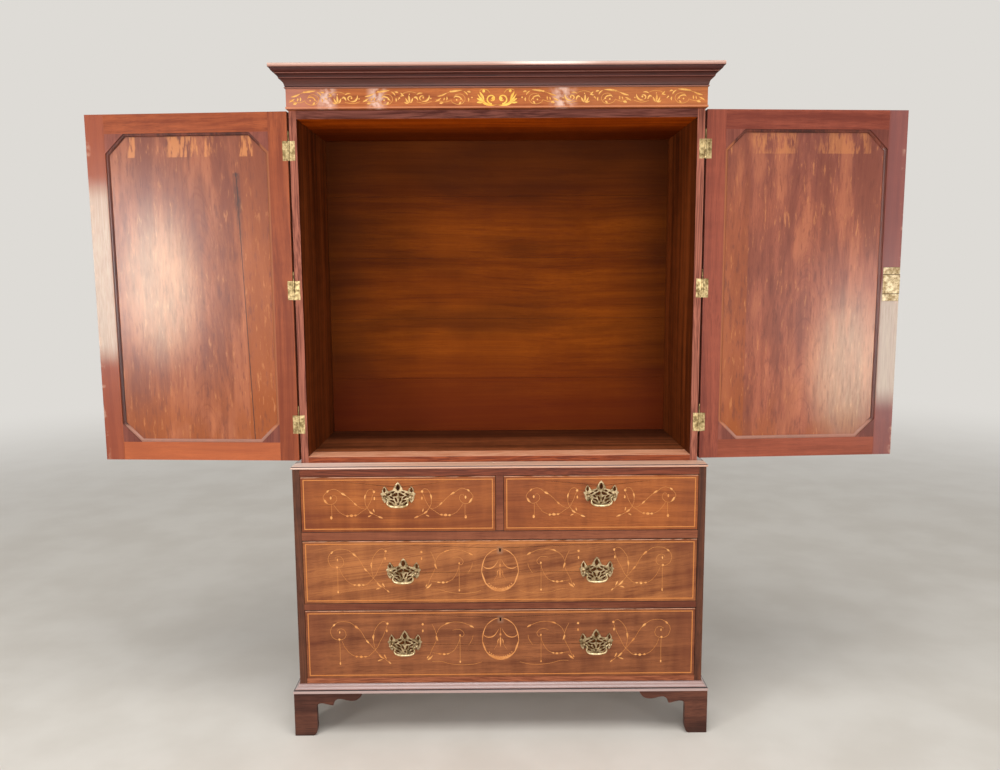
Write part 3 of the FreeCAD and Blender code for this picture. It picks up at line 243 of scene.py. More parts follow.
def dress(material, *names, arris=0.7):
    """Gives CAD pieces their finish. For an arris the loose triangles are welded and the edges rounded, and
    the larger faces rule the shading."""
    for name in names:
        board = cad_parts[name]
        board.data.materials.clear()
        board.data.materials.append(material)
        if arris:
            board.modifiers.new("weld", "WELD").merge_threshold = 0.00002
            take_off_arrises(board, arris, 32)
            board.modifiers.new("shade", "WEIGHTED_NORMAL").keep_sharp = False


case_dark = tint(60, 30, 20)
case_fair = tint(110, 64, 42)
plain_dark = tint(96, 66, 42)
plain_fair = tint(158, 120, 82)
joint_dust = tint(44, 28, 17)
LIP_BACK = -0.2
CHEST_BACK_JOINTS = (-402, -201, 0, 201, 402)
side_wood = wood("case_side_mahogany", "Z", case_dark, case_fair, 0.3)
dress(side_wood.done(), "lower_left_side", "lower_right_side")
case_top = wood("case_top_mahogany", "X", case_dark, tint(124, 74, 50), 1.1)
case_top.wear(case_top.axis("Y") < LIP_BACK, lined(case_top, tint(84, 36, 20), tint(130, 64, 40)))
dress(case_top.done(), "lower_top")
chest_back = wood("chest_back_boards", "Z", plain_dark, plain_fair, 2.4, 0.1, 0.0, 0.62)
dress(chest_back.joints("X", CHEST_BACK_JOINTS, 1.2, joint_dust).done(0.0006), "lower_back")
bottom_board = wood("chest_bottom_board", "X", plain_dark, plain_fair, 3.7, 0.1, 0.0, 0.6)
bottom_lip = lined(bottom_board, tint(116, 60, 38), tint(166, 98, 66))
dress(bottom_board.wear(bottom_board.axis("Y") < LIP_BACK, bottom_lip).done(0.0006), "lower_bottom")

# Rails, divider and runners
# Mahogany rails between the drawers, tenoned into the sides, and an upright divider between the short
# drawers. Behind them plain runners carry the drawer sides, nailed to the case.
RAIL_EDGES = (401, 423, 622, 650)
rail_wood = wood("rail_mahogany", "X", tint(98, 46, 28), tint(142, 81, 53), 4.2, even=0.01)
# The dark lines along the top and bottom edges of the rails are painted shade of the gaps beside the drawers.
dress(rail_wood.joints("Z", RAIL_EDGES, 1.6, tint(52, 24, 15)).done(), "drawer_rails")
dress(wood("runner_wood", "Y", plain_dark, plain_fair, 5.1, 0.1, 0.0, 0.6).done(0.0006), "drawer_runners")

# Bracket feet
# Mitred pairs of sawn mahogany brackets at the front, single ones at the back, glued to blocks under the
# bottom board. Their toes are scuffed dark.


def laid_out(across, depth, up):
    """Points in metres from three coordinates in millimetres, each spread over the grid of the others."""
    return np.stack(np.broadcast_arrays(across, depth, up), axis=-1) * mm


class Shape:
    """Points and faces of a piece in the making. A run is a set of rings joined by quads."""

    def __init__(self):
        self.points, self.faces, self.shade, self.kinds = [], [], [], []
        self.count = self.runs = 0

    def run(self, rings, shade=0.0, kind=0, closed=False):
        """Adds rings of points, stations by points by 3: capped at both ends, or closed on themselves."""
        stations, sides = rings.shape[:2]
        ids = self.count + np.arange(stations * sides).reshape(stations, sides)
        ahead = np.roll(ids, -1, axis=0) if closed else ids[1:]
        here = ids if closed else ids[:-1]
        quads = np.stack([here, np.roll(here, -1, axis=1), np.roll(ahead, -1, axis=1), ahead], axis=-1)
        faces = quads.reshape(-1, 4).tolist()
        if not closed:
            faces += [ids[0, ::-1].tolist(), ids[-1].tolist()]
        self.faces += faces
        self.kinds += [kind] * len(faces)
        self.points.append(rings.reshape(-1, 3))
        self.shade.append(np.broadcast_to(shade, (stations, sides)).ravel())
        self.count += stations * sides
        self.runs += 1

    def made(self, name, body, *materials, slot=None, crease=35):
        """The finished object, faces outwards, smooth but for creases sharper than the angle, on its body."""
        mesh = bpy.data.meshes.new(name)
        mesh.from_pydata(np.vstack(self.points).tolist(), [], self.faces)
        mesh.attributes.new("scorch", "FLOAT", "POINT").data.foreach_set("value", np.concatenate(self.shade))
        for material in materials:
            mesh.materials.append(material)
        mesh.polygons.foreach_set("material_index", self.kinds)
        return placed(name, mesh, body, crease)


def placed(name, mesh, body, crease=35):
    """Object for a mesh whose normals are turned outwards, riding on a body."""
    whole = bmesh.new()
    whole.from_mesh(mesh)
    bmesh.ops.recalc_face_normals(whole, faces=whole.faces)
    whole.to_mesh(mesh)
    whole.free()
    mesh.polygons.foreach_set("use_smooth", [True] * len(mesh.polygons))
    mesh.set_sharp_from_angle(angle=math.radians(crease))
    piece = bpy.data.objects.new(name, mesh)
    bpy.context.scene.collection.objects.link(piece)
    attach(piece, body)
    return piece


def lath(shape, low, high, kind=0):
    """Plain strip or block of wood from one corner to the opposite one, as two rings of four."""
    (x0, y0, z0), (x1, y1, z1) = low, high
    shape.run(laid_out([x0, x1, x1, x0], [[y0], [y1]], [z0, z0, z1, z1]), kind=kind)


def curve_through(points, count):
    """Line through points: each stretch is the cubic whose slopes are half the chords of its neighbours."""
    knots = np.asarray(points, float)
    padded = np.vstack([2 * knots[0] - knots[1], knots, 2 * knots[-1] - knots[-2]])
    along = np.linspace(0, len(knots) - 1, count)
    first = np.minimum(along.astype(int), len(knots) - 2)
    part = (along - first)[:, None]
    a, b, c, d = (padded[first + step] for step in range(4))
    return 0.5 * (2 * b + (c - a) * part + (2 * a - 5 * b + 4 * c - d) * part ** 2
                  + (3 * b - a - 3 * c + d) * part ** 3)


FOOT_SIDE = 642.0
FOOT_FRONT = -246.25
FOOT_BACK = 252.75
FOOT_HEIGHT = 138.0
BRACKET_THICKNESS = 20.0
BLOCK = 36.0
BLOCK_FOOT = 4.0
BLOCK_INSET = 2.0
toe = curve_through([(57, 0), (64, 5), (68, 14), (70, 26), (70, 40)], 13)
arch = curve_through([(70, 82), (70, 92), (72, 100), (78, 105), (88, 106), (102, 103), (114, 100), (121, 99)],
                     29)
lobe = curve_through([(121, 99), (123, 108), (129, 116), (138, 120), (150, 119), (164, 115.5), (178, 113.8),
                      (191, 115.4), (201, 121), (208, 129), (213, 138)], 41)
bracket = np.vstack([[(0.0, 0.0)], toe, arch, lobe[1:], [(0.0, FOOT_HEIGHT)]])


def bracket_rings(mitre):
    """Sawn bracket as two rings, its outline on the show face and on the back face, cut back by the mitre."""
    inner = bracket.copy()
    inner[:, 0] = np.maximum(inner[:, 0], mitre)
    return np.stack([bracket, inner])


feet = Shape()
corner_rings = bracket_rings(BRACKET_THICKNESS)
single_rings = bracket_rings(0.0)
depth = np.array([[0.0], [BRACKET_THICKNESS]])
for hand in (-1, 1):
    side = hand * (FOOT_SIDE - depth)
    feet.run(laid_out(hand * (FOOT_SIDE - corner_rings[..., 0]), FOOT_FRONT + depth, corner_rings[..., 1]))
    feet.run(laid_out(side, FOOT_FRONT + corner_rings[..., 0], corner_rings[..., 1]))
    feet.run(laid_out(side, FOOT_BACK - single_rings[..., 0], single_rings[..., 1]))
    near = hand * (FOOT_SIDE - BRACKET_THICKNESS)
    far = near - hand * BLOCK
    for first in (FOOT_FRONT + BRACKET_THICKNESS, FOOT_BACK - BLOCK - BLOCK_INSET):
        lath(feet, (near, first, BLOCK_FOOT), (far, first + BLOCK, FOOT_HEIGHT), kind=1)
foot_wood = wood("bracket_foot_mahogany", "X", tint(62, 32, 24), tint(108, 64, 48), 6.3, 0.2,
                 returns=(FOOT_SIDE, FOOT_FRONT))
scuffed = foot_wood.axis("Z").fall(0.0, 0.045) * foot_wood.age.rise(0.3, 0.7)
foot_wood.wear(0.6 * scuffed, tint(40, 27, 23))
block_wood = wood("foot_block_wood", "Z", tint(60, 42, 28), tint(104, 76, 52), 6.9, 0.1, 0.0, 0.6)
feet_piece = feet.made("bracket_feet_sawn", "case", foot_wood.done(), block_wood.done(), slot="mahogany")
take_off_arrises(feet_piece, 0.8, 45)
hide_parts("bracket_feet")

# Base and waist mouldings
# Lengths of moulded mahogany mitred at the front corners and glued and nailed on: a fillet, a quirk and a
# hollow slope. They carry the most polish; the pale bands on their fillets and slopes are painted highlights,
# paler at the left of the waist, and the dark line in each quirk is painted shade.
CASE_HALF_WIDTH = 625.0
CASE_FRONT = -229.25
CASE_BACK = 252.75


def mitred(front_profile, side_profile, half_width, front, foot):
    """Moulding round the front and both sides: the profile, outwards and up, is carried from the back of the
    left side round both mitres to the back of the right one."""
    front_out, height = np.transpose(front_profile)
    side = half_width + np.transpose(side_profile)[0]
    fore_end = front - front_out
    back_end = np.full_like(fore_end, CASE_BACK)
    return laid_out(np.stack([-side, -side, side, side]), np.stack([back_end, fore_end, fore_end, back_end]),
                    foot + height)


BASE_PROFILE = [(-0.4, 0), (17.5, 0), (18, 0.5), (18, 8.4), (17.4, 9), (15.4, 9), (15.4, 10.8), (13.4, 11.6),
                (10.4, 13.6), (7.4, 16.6), (5.2, 20), (4, 23.6), (3.6, 26), (3, 27), (-0.4, 27)]
base = wood("base_moulding_mahogany", "X", tint(84, 46, 36), tint(138, 88, 74), 7.7, 0.1, 1.0, 0.38, 0.5,
            returns=(CASE_HALF_WIDTH, CASE_FRONT))
base_up = base.axis("Z") - FOOT_HEIGHT * mm
# Pale bands on the fillet and the upper slope: painted highlights.
base.wear(0.65 * base_up.band(0.0004, 0.0082), tint(200, 174, 168))
base.wear(0.42 * base_up.band(0.0118, 0.024), tint(196, 166, 160))
# Dark line in the quirk: painted shade.
base.wear(base_up.band(0.0086, 0.0112, 0.0002), tint(48, 26, 24))
base_length = Shape()
base_length.run(mitred(BASE_PROFILE, BASE_PROFILE, CASE_HALF_WIDTH, CASE_FRONT, FOOT_HEIGHT))
base_piece = base_length.made("base_moulding_run", "case", base.done(), slot="mahogany", crease=30)
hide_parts("base_moulding")
WAIST_FOOT = 846.0
WAIST_EDGE = [(3.5, 0), (4, 0.5), (4, 5), (3.4, 5.6), (1.8, 5.8), (1.8, 7.2), (0.8, 7.8)]
waist_front = [(-44, 0)] + WAIST_EDGE + [(-6, 8.2), (-20, 8.8), (-34, 9.3), (-43, 9.7), (-44, 9.7)]
waist_side = [(-18, 0)] + WAIST_EDGE + [(-3, 8.2), (-8.5, 8.8), (-14, 9.3), (-17.6, 9.7), (-18, 9.7)]
waist = wood("waist_moulding_mahogany", "X", tint(118, 62, 42), tint(186, 118, 86), 8.8, 0.1, 1.0, 0.38, 0.5,
             returns=(CASE_HALF_WIDTH, CASE_FRONT))
waist_up = waist.axis("Z") - WAIST_FOOT * mm
# Paler still towards the left end: painted highlight.
left_highlight = waist.axis("X").fall(-0.56, -0.2)
waist_fillet = waist_up.band(0.0004, 0.0046)
waist_slope = waist_up.rise(0.0074, 0.0078) * waist.axis("Y").fall(-0.19, -0.186)
# Pale fillet and slope: painted highlights.
waist.wear((0.5 + 0.3 * waist.age) * waist_fillet, tint(226, 176, 146))
waist.wear((0.6 + 0.4 * waist.lines) * waist_slope, tint(252, 214, 184))
waist.wear(0.7 * left_highlight * waist_slope, tint(255, 240, 228))
waist.wear(0.45 * left_highlight * waist_fillet, tint(244, 224, 210))
# Dark line in the quirk: painted shade.
waist.wear(waist_up.band(0.0052, 0.0074, 0.0002), tint(74, 36, 26))
waist_length = Shape()
waist_length.run(mitred(waist_front, waist_side, CASE_HALF_WIDTH, CASE_FRONT, WAIST_FOOT))
waist_piece = waist_length.made("waist_moulding_run", "case", waist.done(), slot="mahogany", crease=30)
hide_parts("waist_moulding")


def hollow_out(piece, rings):
    """Cuts a run of rings, capped at both ends, out of a finished piece."""
    core = Shape()
    core.run(rings)
    cutter = core.made("cutter", "case")
    cut = piece.modifiers.new("cut", "BOOLEAN")
    cut.object = cutter
    bpy.context.view_layer.update()
    left_over = bpy.data.meshes.new_from_object(piece.evaluated_get(bpy.context.evaluated_depsgraph_get()))
    piece.modifiers.remove(cut)
    piece.data = left_over
    bpy.data.objects.remove(cutter)


def arc(centre, radius, first, last, count):
    """Points on a circle from one angle to another, in degrees."""
    angle = np.radians(np.linspace(first, last, count))
    return np.column_stack([centre[0] + radius * np.cos(angle), centre[1] + radius * np.sin(angle)])


BOLT_HOLE = (-17.0, -197.25)
BOLT_HOLE_RADIUS = 5.1
BOLT_HOLE_ENDS = [[850.0], [860.0]]
rim = arc(BOLT_HOLE, BOLT_HOLE_RADIUS, 0, 342, 20)
hollow_out(waist_piece, laid_out(rim[:, 0], rim[:, 1], BOLT_HOLE_ENDS))

# Cupboard carcase
# Sides, top and floor of mahogany, polished outside and thinly stained inside. The front strip of the floor
# and its arris carry painted light, and the backs of the floor and ceiling and the sides, top and foot of the
# back carry painted shade. The back is of five boards laid level, stained amber and streaked.
OUTER_FACE = 0.6035
EDGE_BACK = -0.1838
REAR_FACE = 0.2518
for hand in ("left", "right"):
    side = wood(f"cupboard_{hand}_side_mahogany", "Z", tint(74, 31, 10), tint(138, 68, 28), 9.9, 0.2, 0.0,
                0.5, 0.1)
    polished = (0.7 * side.streaks + 0.3 * side.lines).rise(0.36, 0.64).mix(case_dark, tint(116, 68, 48))
    side.wear(abs(side.axis("X")) > OUTER_FACE, polished)
    side.wear(side.axis("Y") < EDGE_BACK, lined(side, tint(110, 60, 48), tint(168, 102, 82)))
    side.wear(side.axis("Y") > REAR_FACE, polished)
    dress(side.done(), f"upper_{hand}_side")
FLOOR_TOP = 0.8735
STRIP_BACK = -0.11
floor_board = wood("cupboard_floor_mahogany", "X", tint(74, 36, 18), tint(150, 84, 48), 11.2, 0.2, 0.1, 0.5,
                   0.1)
floor_depth, floor_up = floor_board.axis("Y"), floor_board.axis("Z")
# Darker towards the back of the floor: painted shade.
floor_board.wear(0.7 * floor_depth.rise(0.02, 0.16), tint(40, 15, 7))
# Dark line behind the front strip: painted shade.
floor_board.wear(floor_depth.band(STRIP_BACK - 0.001, STRIP_BACK + 0.002), tint(40, 18, 10))
# Pale front strip of the floor: painted light.
lit_strip = lined(floor_board, tint(206, 128, 90), tint(246, 184, 146))
floor_board.wear((floor_up > FLOOR_TOP) * (floor_depth < STRIP_BACK), lit_strip)
edge = floor_depth < EDGE_BACK
floor_board.wear(edge, lined(floor_board, tint(104, 44, 24), tint(156, 78, 44)))
# Pale line along the floor's front arris: painted highlight, partly wear.
floor_board.wear(0.6 * edge * floor_up.rise(FLOOR_TOP - 0.001, FLOOR_TOP), tint(232, 176, 146))
dress(floor_board.done(), "upper_bottom")
ceiling = wood("cupboard_top_mahogany", "X", tint(140, 52, 6), tint(208, 96, 16), 12.4, 0.2, 0.0, 0.5, 0.05)
ceiling_depth = ceiling.axis("Y")
# Darker towards the back of the ceiling: painted shade.
ceiling.wear(0.8 * ceiling_depth.rise(-0.12, 0.12), tint(70, 22, 4))
ceiling.wear(ceiling_depth < EDGE_BACK, lined(ceiling, tint(84, 44, 38), tint(136, 82, 70)))
dress(ceiling.wear(ceiling_depth > REAR_FACE, plain_dark).done(), "upper_top")
BACK_JOINTS = (1061.4, 1270.8, 1480.2, 1689.6)
back = wood("cupboard_back_boards", "X", tint(104, 42, 4), tint(148, 72, 7), 13.5, 0.1, 0.0, 0.55, 0.05,
            even=0.05)
up, across = back.axis("Z"), back.axis("X")
shade = back.noise(back.stretched((0.8, 1.0, 2.4)), 1.9, 3.0)
back.wear(0.55 * shade.rise(0.42, 0.66), tint(64, 24, 3))
# Darker towards the sides, the top and the foot of the back: painted shade inside the cupboard.
back.wear(0.55 * abs(across).rise(0.34, 0.6), tint(52, 20, 4))
back.wear(0.6 * up.rise(1.56, 1.82), tint(58, 22, 3))
back.wear(0.7 * up.fall(0.92, 1.2), tint(96, 30, 9))
behind = back.axis("Y") > REAR_FACE
back.wear(behind, (0.7 * back.streaks + 0.3 * back.lines).rise(0.34, 0.66).mix(plain_dark, plain_fair))
dress(back.joints("Z", BACK_JOINTS, 1.2, joint_dust, 0.8 * behind).done(), "upper_back")

# Tongues of the backs
# Loose strips of plain wood in the joints of the back boards, so that no light comes through as they shrink.
TONGUE = 0.3
TONGUE_FRONT = 244.0
TONGUE_BACK = 250.0
tongue_wood = wood("tongue_wood", "X", tint(48, 22, 8), tint(82, 44, 18), 16.1, 0.1, 0.0, 0.6, 0.1).done()
upper_tongues = Shape()
for joint in BACK_JOINTS:
    lath(upper_tongues, (-584, TONGUE_FRONT, joint - TONGUE), (584, TONGUE_BACK, joint + TONGUE))
upper_tongues.made("cupboard_back_tongues", "case", tongue_wood, slot="secondary_wood")
lower_tongues = Shape()
for joint in CHEST_BACK_JOINTS:
    lath(lower_tongues, (joint - TONGUE, TONGUE_FRONT, 159), (joint + TONGUE, TONGUE_BACK, 846))
lower_tongues.made("chest_back_tongues", "case", tongue_wood, slot="secondary_wood")

# Frieze and cornice
# A frieze of figured mahogany on four boards with a bead along its foot, and over it a cornice of three
# mitred lengths with a dust board between them. The light lines on the cornice's fillets and bead and its
# pale top edge are painted highlights.
FRIEZE_HALF_WIDTH = 606.0
FRIEZE_FACE = -209.75
RUBBED = ((-0.49, 0.024), (-0.345, 0.022), (0.19, 0.03))
frieze = wood("frieze_mahogany", "X", tint(128, 58, 24), tint(198, 112, 54), 14.6, 0.3, 0.2, even=0.03,
              returns=(FRIEZE_HALF_WIDTH, FRIEZE_FACE))
frieze_x = frieze.axis("X")
frieze_shown = frieze.axis("Y").fall(-0.2, -0.19)
frieze.wear(0.55 * frieze_shown * frieze_x.fall(-0.6, -0.42), tint(178, 122, 112))
broken = frieze.noise(frieze.place, 60.0, 3.0).rise(0.3, 0.65)
for spot_x, reach in RUBBED:
    rubbed = abs(frieze_x - spot_x).fall(0.0, 1.6 * reach) * broken
    frieze.wear(0.75 * frieze_shown * rubbed, tint(238, 206, 190))
frieze.wear(0.15 * frieze_shown * frieze_x.rise(0.1, 0.3), tint(226, 150, 92))
plain_grain = frieze.noise(frieze.stretched((ALONG, 1.0, 1.0), 14.6), 44.0, 5.0, 0.66)
frieze.wear(frieze.axis("Y") > REAR_FACE, plain_grain.rise(0.34, 0.66).mix(plain_dark, plain_fair))
dress(frieze.wear(0.6 * frieze.axis("Z").band(1.9, 1.9042), tint(206, 132, 92)).done(), "frieze")
CORNICE_FOOT = 1955.0
CORNICE_PROFILE = [
    (-20, 0), (1.2, 0), (3.2, 0.8), (4, 2.4), (3.2, 4), (1.6, 4.6), (1.6, 6), (2.6, 6.6), (3.2, 10),
    (4.4, 14), (6.4, 18), (9.4, 21.8), (13, 24.6), (15.4, 25.8), (16.2, 26), (16.2, 28.6), (17, 29),
    (17.8, 32), (19.6, 35), (22.4, 37.2), (24.6, 37.8), (24.6, 40.2), (26, 40.4), (29.4, 41.6), (32.8, 44.4),
    (35, 48.2), (35.8, 52), (39.4, 52.2), (40, 52.8), (40, 62.4), (39.4, 63), (-20, 63)]
CORNICE_HIGHLIGHTS = (
    (0.2, 7, 24, tint(140, 92, 80)), (0.75, 0.6, 4, tint(164, 112, 96)), (0.6, 26.2, 28.6, tint(132, 80, 68)),
    (0.7, 38, 40.2, tint(150, 98, 84)), (0.75, 53.2, 62.6, tint(176, 128, 112)))
DUST_BOARD = ((-586.0, -189.75, 2008.0), (586.0, CASE_BACK, 2018.0))
cornice = wood("cornice_mahogany", "X", tint(42, 13, 9), tint(78, 33, 26), 15.7, 0.1, 0.2,
               returns=(FRIEZE_HALF_WIDTH, FRIEZE_FACE))
cornice_up = cornice.axis("Z") - CORNICE_FOOT * mm
# Light lines on the cove, bead and fillets: painted highlights.
for strength, low, high, tone in CORNICE_HIGHLIGHTS:
    cornice.wear(strength * cornice_up.band(low * mm, high * mm), tone)
fillet_face = cornice_up < 0.0628
sunlit = abs(cornice.axis("X") - 0.15).fall(0.03, 0.17)
# Pale top edge, uneven along its length and brightest right of the middle: painted highlight.
cornice.wear((0.2 + 0.7 * cornice.age) * cornice_up.rise(0.0545, 0.06) * fillet_face, tint(232, 198, 182))
cornice.wear(0.8 * sunlit * cornice_up.rise(0.0545, 0.058) * fillet_face, tint(255, 240, 228))
dust_wood = wood("dust_board_wood", "X", plain_dark, plain_fair, 15.9, 0.1, 0.0, 0.66, 0.2).done(0.0006)
cornice_run = Shape()
cornice_run.run(mitred(CORNICE_PROFILE, CORNICE_PROFILE, FRIEZE_HALF_WIDTH, FRIEZE_FACE, CORNICE_FOOT))
lath(cornice_run, *DUST_BOARD, kind=1)
cornice_piece = cornice_run.made("cornice_run", "case", cornice.done(), dust_wood, slot="mahogany", crease=30)
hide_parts("cornice")

# Hinges
# Three brass butts to a door, their leaves let into the stile and the case and held by countersunk screws.


def brass(name, dark, fair, dull=0.32):
    """Old brass: tarnish in clouds and specks between a dark and a fair tone, duller where it is dark."""
    finish = Finish(name, {"Metallic": 1.0})
    cloud = finish.noise(finish.place, 85.0, 4.0, 0.6)
    speck = finish.noise(finish.place, 900.0, 2.0)
    tarnish = (0.7 * cloud + 0.3 * speck).rise(0.36, 0.64)
    finish.colour = tarnish.mix(dark, fair)
    finish.rough = dull + 0.2 - 0.22 * tarnish
    finish.height = 0.6 * speck + 0.4 * cloud
    return finish


hinge_brass = brass("hinge_brass", tint(112, 92, 58), tint(208, 184, 136)).done(0.0002)
dress(hinge_brass, "case_hinge_leaves", "left_door_hinge_leaves", "right_door_hinge_leaves", arris=0)
screw_brass = brass("screw_brass", tint(92, 74, 46), tint(176, 152, 106)).done(0.0002)
dress(screw_brass, "hinge_pins", "case_hinge_screws", "left_door_hinge_screws", "right_door_hinge_screws",
      arris=0)

# Doors
# Framed stiles and rails with a thin figured panel in each, its corners cut off by shaped blocks and a small
# moulding planted round the eight sides. The outer edges are worn pale by hands. The meeting stiles and
# panels carry painted glare, and the mouldings a painted highlight along their foot.
DOORS = {
    "left": {
        "frame": (tint(120, 50, 22), tint(168, 85, 44)), "panel": (tint(126, 60, 30), tint(176, 98, 56)),
        "heart": -0.894, "bare": ((-0.906, 0.07), (-0.741, 0.018), (-1.08, 0.012)), "bare_tone": 0.85,
        "painted_glare": (-1.02, 1.4), "gleam": (1.23, 1.64), "orange": 0.75, "low_rail": 0.35, "field": 0.76,
        "outer": tint(140, 68, 48), "top": tint(118, 62, 46), "crack": 0.772},
    "right": {
        "frame": (tint(108, 44, 30), tint(154, 76, 54)), "panel": (tint(122, 56, 34), tint(172, 94, 64)),
        "heart": 0.93, "bare": ((1.03, 0.08), (0.82, 0.07)), "bare_tone": 0.45,
        "painted_glare": (1.07, 1.13), "gleam": (1.08, 1.325), "orange": 0.55, "low_rail": 0.12, "field": 0.748,
        "outer": tint(130, 84, 82), "top": tint(104, 52, 46), "crack": None},
}
FIELD_HEAD = 1.774
CRACK_HEAD = 1.726
OPEN_SLOPE = math.tan(math.radians(3.5))
HINGE_LINE = 0.609
INNER_FACE = -0.18475
PANEL_MIDST = 0.0125


def below_inner_face(finish):
    """Depth below the inner face of an open door, which stands a few degrees short of the front's plane."""
    return finish.axis("Y") - OPEN_SLOPE * (abs(finish.axis("X")) - HINGE_LINE) - INNER_FACE


def stile_wood(hand, door, shift):
    """Upright grain. The inner face of the meeting stile is browned, carries a band of painted glare, and is
    chipped along its edge."""
    stiles = wood(f"{hand}_door_stile_mahogany", "Z", *door["frame"], shift, 0.2, 0.4, even=0.01)
    outwards = abs(stiles.axis("X"))
    meeting = outwards.rise(1.15, 1.17) * below_inner_face(stiles).fall(0.006, 0.008)
    stiles.wear(0.6 * meeting, door["outer"])
    # Pale band on the meeting stile: painted glare.
    gleam = stiles.axis("Z").band(*door["gleam"], 0.09)
    stiles.wear(meeting * gleam * (0.25 + 0.6 * stiles.lines), tint(216, 204, 184))
    chipped = outwards.rise(1.2, 1.213) * stiles.noise(stiles.place, 38.0, 4.0).rise(0.58, 0.68)
    return stiles.wear(0.35 * chipped, tint(214, 176, 150)).done()


def panel_wood(hand, door, shift):
    """Figured wood: rings that arch over the heart, as noise on the height and the distance from it, with
    long flames and flecks. On the inner face a painted glare lies in one place, the polish is orange beside
    the hinges, and gone in ragged patches under the top moulding."""
    panel = wood(f"{hand}_door_panel_mahogany", "Z", *door["panel"], shift + 3.4, 0.12, 0.7, even=0.05)
    across, up = panel.axis("X"), panel.axis("Z")
    inside = below_inner_face(panel) < PANEL_MIDST
    off_heart = across - door["heart"]
    spread = (off_heart * off_heart + 0.0036).root()
    arches = panel.node("ShaderNodeCombineXYZ", (), {0: up + 6.0 * spread, 1: 0.1 * across})
    rings = panel.noise(arches, 64.0, 4.0, 0.6)
    flecks = panel.noise(panel.stretched((1.0, 1.0, 0.16), shift), 120.0, 4.0, 0.65)
    patches = panel.noise(panel.stretched((1.0, 1.0, 0.6), shift), 13.0, 3.0)
    clouds = panel.noise(panel.stretched((1.0, 1.0, 0.5), shift), 5.0, 3.0)
    figure = panel.noise(panel.stretched((1.0, 1.0, 0.2), shift + 2.0), 11.0, 4.0, 0.6)
    panel.wear(0.6 * up.rise(1.5, 1.8), door["top"])
    panel.wear(0.4 * rings.rise(0.5, 0.64), door["frame"][0])
    panel.wear(0.3 * clouds.rise(0.5, 0.68), door["top"])
    panel.wear(0.55 * figure.rise(0.5, 0.6), tint(110, 50, 32))
    panel.wear(0.3 * figure.fall(0.4, 0.5), tint(204, 122, 80))
    near_hinge = abs(across).fall(door["field"] - 0.002, door["field"] + 0.002)
    orange = near_hinge * (1.0 - 0.7 * up.rise(1.35, 1.75)) + up.fall(0.95, 1.12) * patches.rise(0.4, 0.62)
    panel.wear(door["orange"] * inside * orange * (0.5 + flecks), tint(148, 72, 20))
    panel.wear(0.5 * inside * flecks.rise(0.57, 0.7) * patches.rise(0.36, 0.56), tint(206, 132, 78))
    panel.wear(0.6 * flecks.fall(0.34, 0.46) * (0.3 + clouds), tint(96, 42, 28))
    # Pale patch on the inner face of the panel: painted glare.
    glare_x, glare_z = door["painted_glare"]
    off_x, off_z = 0.55 * (across - glare_x), 0.3 * (up - glare_z)
    painted_glare = (off_x * off_x + off_z * off_z).root().fall(0.02, 0.09)
    panel.wear(inside * painted_glare * (0.1 + 0.4 * flecks), tint(240, 208, 168))
    ragged = (0.45 * patches + 0.55 * flecks).rise(0.45, 0.52)
    for bare_x, reach in door["bare"]:
        bare = abs(across - bare_x + 0.05 * (patches - 0.5)).fall(0.8 * reach, 1.1 * reach)
        bare = bare * up.rise(FIELD_HEAD - 0.002, FIELD_HEAD)
        panel.wear(door["bare_tone"] * inside * ragged * bare, tint(192, 120, 68))
    if door["crack"]:
        off_crack = abs(across + door["crack"] - 0.03 * (CRACK_HEAD - up))
        crack = off_crack.fall(0.0005, 0.002) * up.fall(CRACK_HEAD - 0.001, CRACK_HEAD + 0.004)
        stain = off_crack.fall(0.002, 0.014) * up.rise(1.46, 1.68) * up.fall(CRACK_HEAD - 0.004,
                                                                             CRACK_HEAD + 0.002)
        panel.wear(inside * crack, tint(62, 30, 22))
        panel.wear(0.85 * inside * stain * flecks.rise(0.4, 0.56), tint(58, 38, 34))
    return panel.done()


def door_moulding_wood(hand, shift):
    """Dark wood with a painted highlight inside along the foot, and rubbed pale beside the hinges."""
    moulding = wood(f"{hand}_door_moulding_mahogany", "Z", tint(62, 24, 16), tint(118, 56, 38), shift, 0.1,
                    0.4)
    shown = below_inner_face(moulding) < PANEL_MIDST
    # Pale line along the foot of the moulding: painted highlight.
    moulding.wear(0.45 * shown * moulding.axis("Z").fall(0.966, 0.976), tint(206, 152, 130))
    moulding.wear(0.5 * shown * abs(moulding.axis("X")).fall(0.69, 0.7), tint(200, 118, 72))
    return moulding.done()


for order, (hand, door) in enumerate(DOORS.items()):
    shift = 17.0 + 5 * order
    dress(stile_wood(hand, door, shift), f"{hand}_door_stiles")
    rails = wood(f"{hand}_door_rail_mahogany", "X", *door["frame"], shift + 1.3, 0.2, 0.3, even=0.01)
    rails.wear(door["low_rail"] * rails.axis("Z").fall(1.2, 1.5), tint(212, 116, 70))
    dress(rails.done(), f"{hand}_door_rails")
    blocks = wood(f"{hand}_door_corner_mahogany", "Z", tint(100, 48, 38), tint(142, 76, 60), shift + 2.1, 0.2,
                  0.3)
    dress(blocks.done(), f"{hand}_door_corners", arris=0.3)
    dress(panel_wood(hand, door, shift), f"{hand}_door_panel", arris=0)
    dress(door_moulding_wood(hand, shift + 4.2), f"{hand}_door_moulding", arris=0.3)

# Door lock and bolts
# A brass box lock let into the right door's meeting stile, its cap a little proud of the plate, and two brass
# flush bolts in the left door's.
LOCK_MIDDLE = 1387.5 * mm
LOCK_CAP_HALF = 29 * mm
LOCK_PLATE_HALF = 51 * mm
lock_brass = brass("door_lock_brass", tint(154, 128, 88), tint(234, 216, 180), 0.5)
off_middle = abs(lock_brass.axis("Z") - LOCK_MIDDLE)
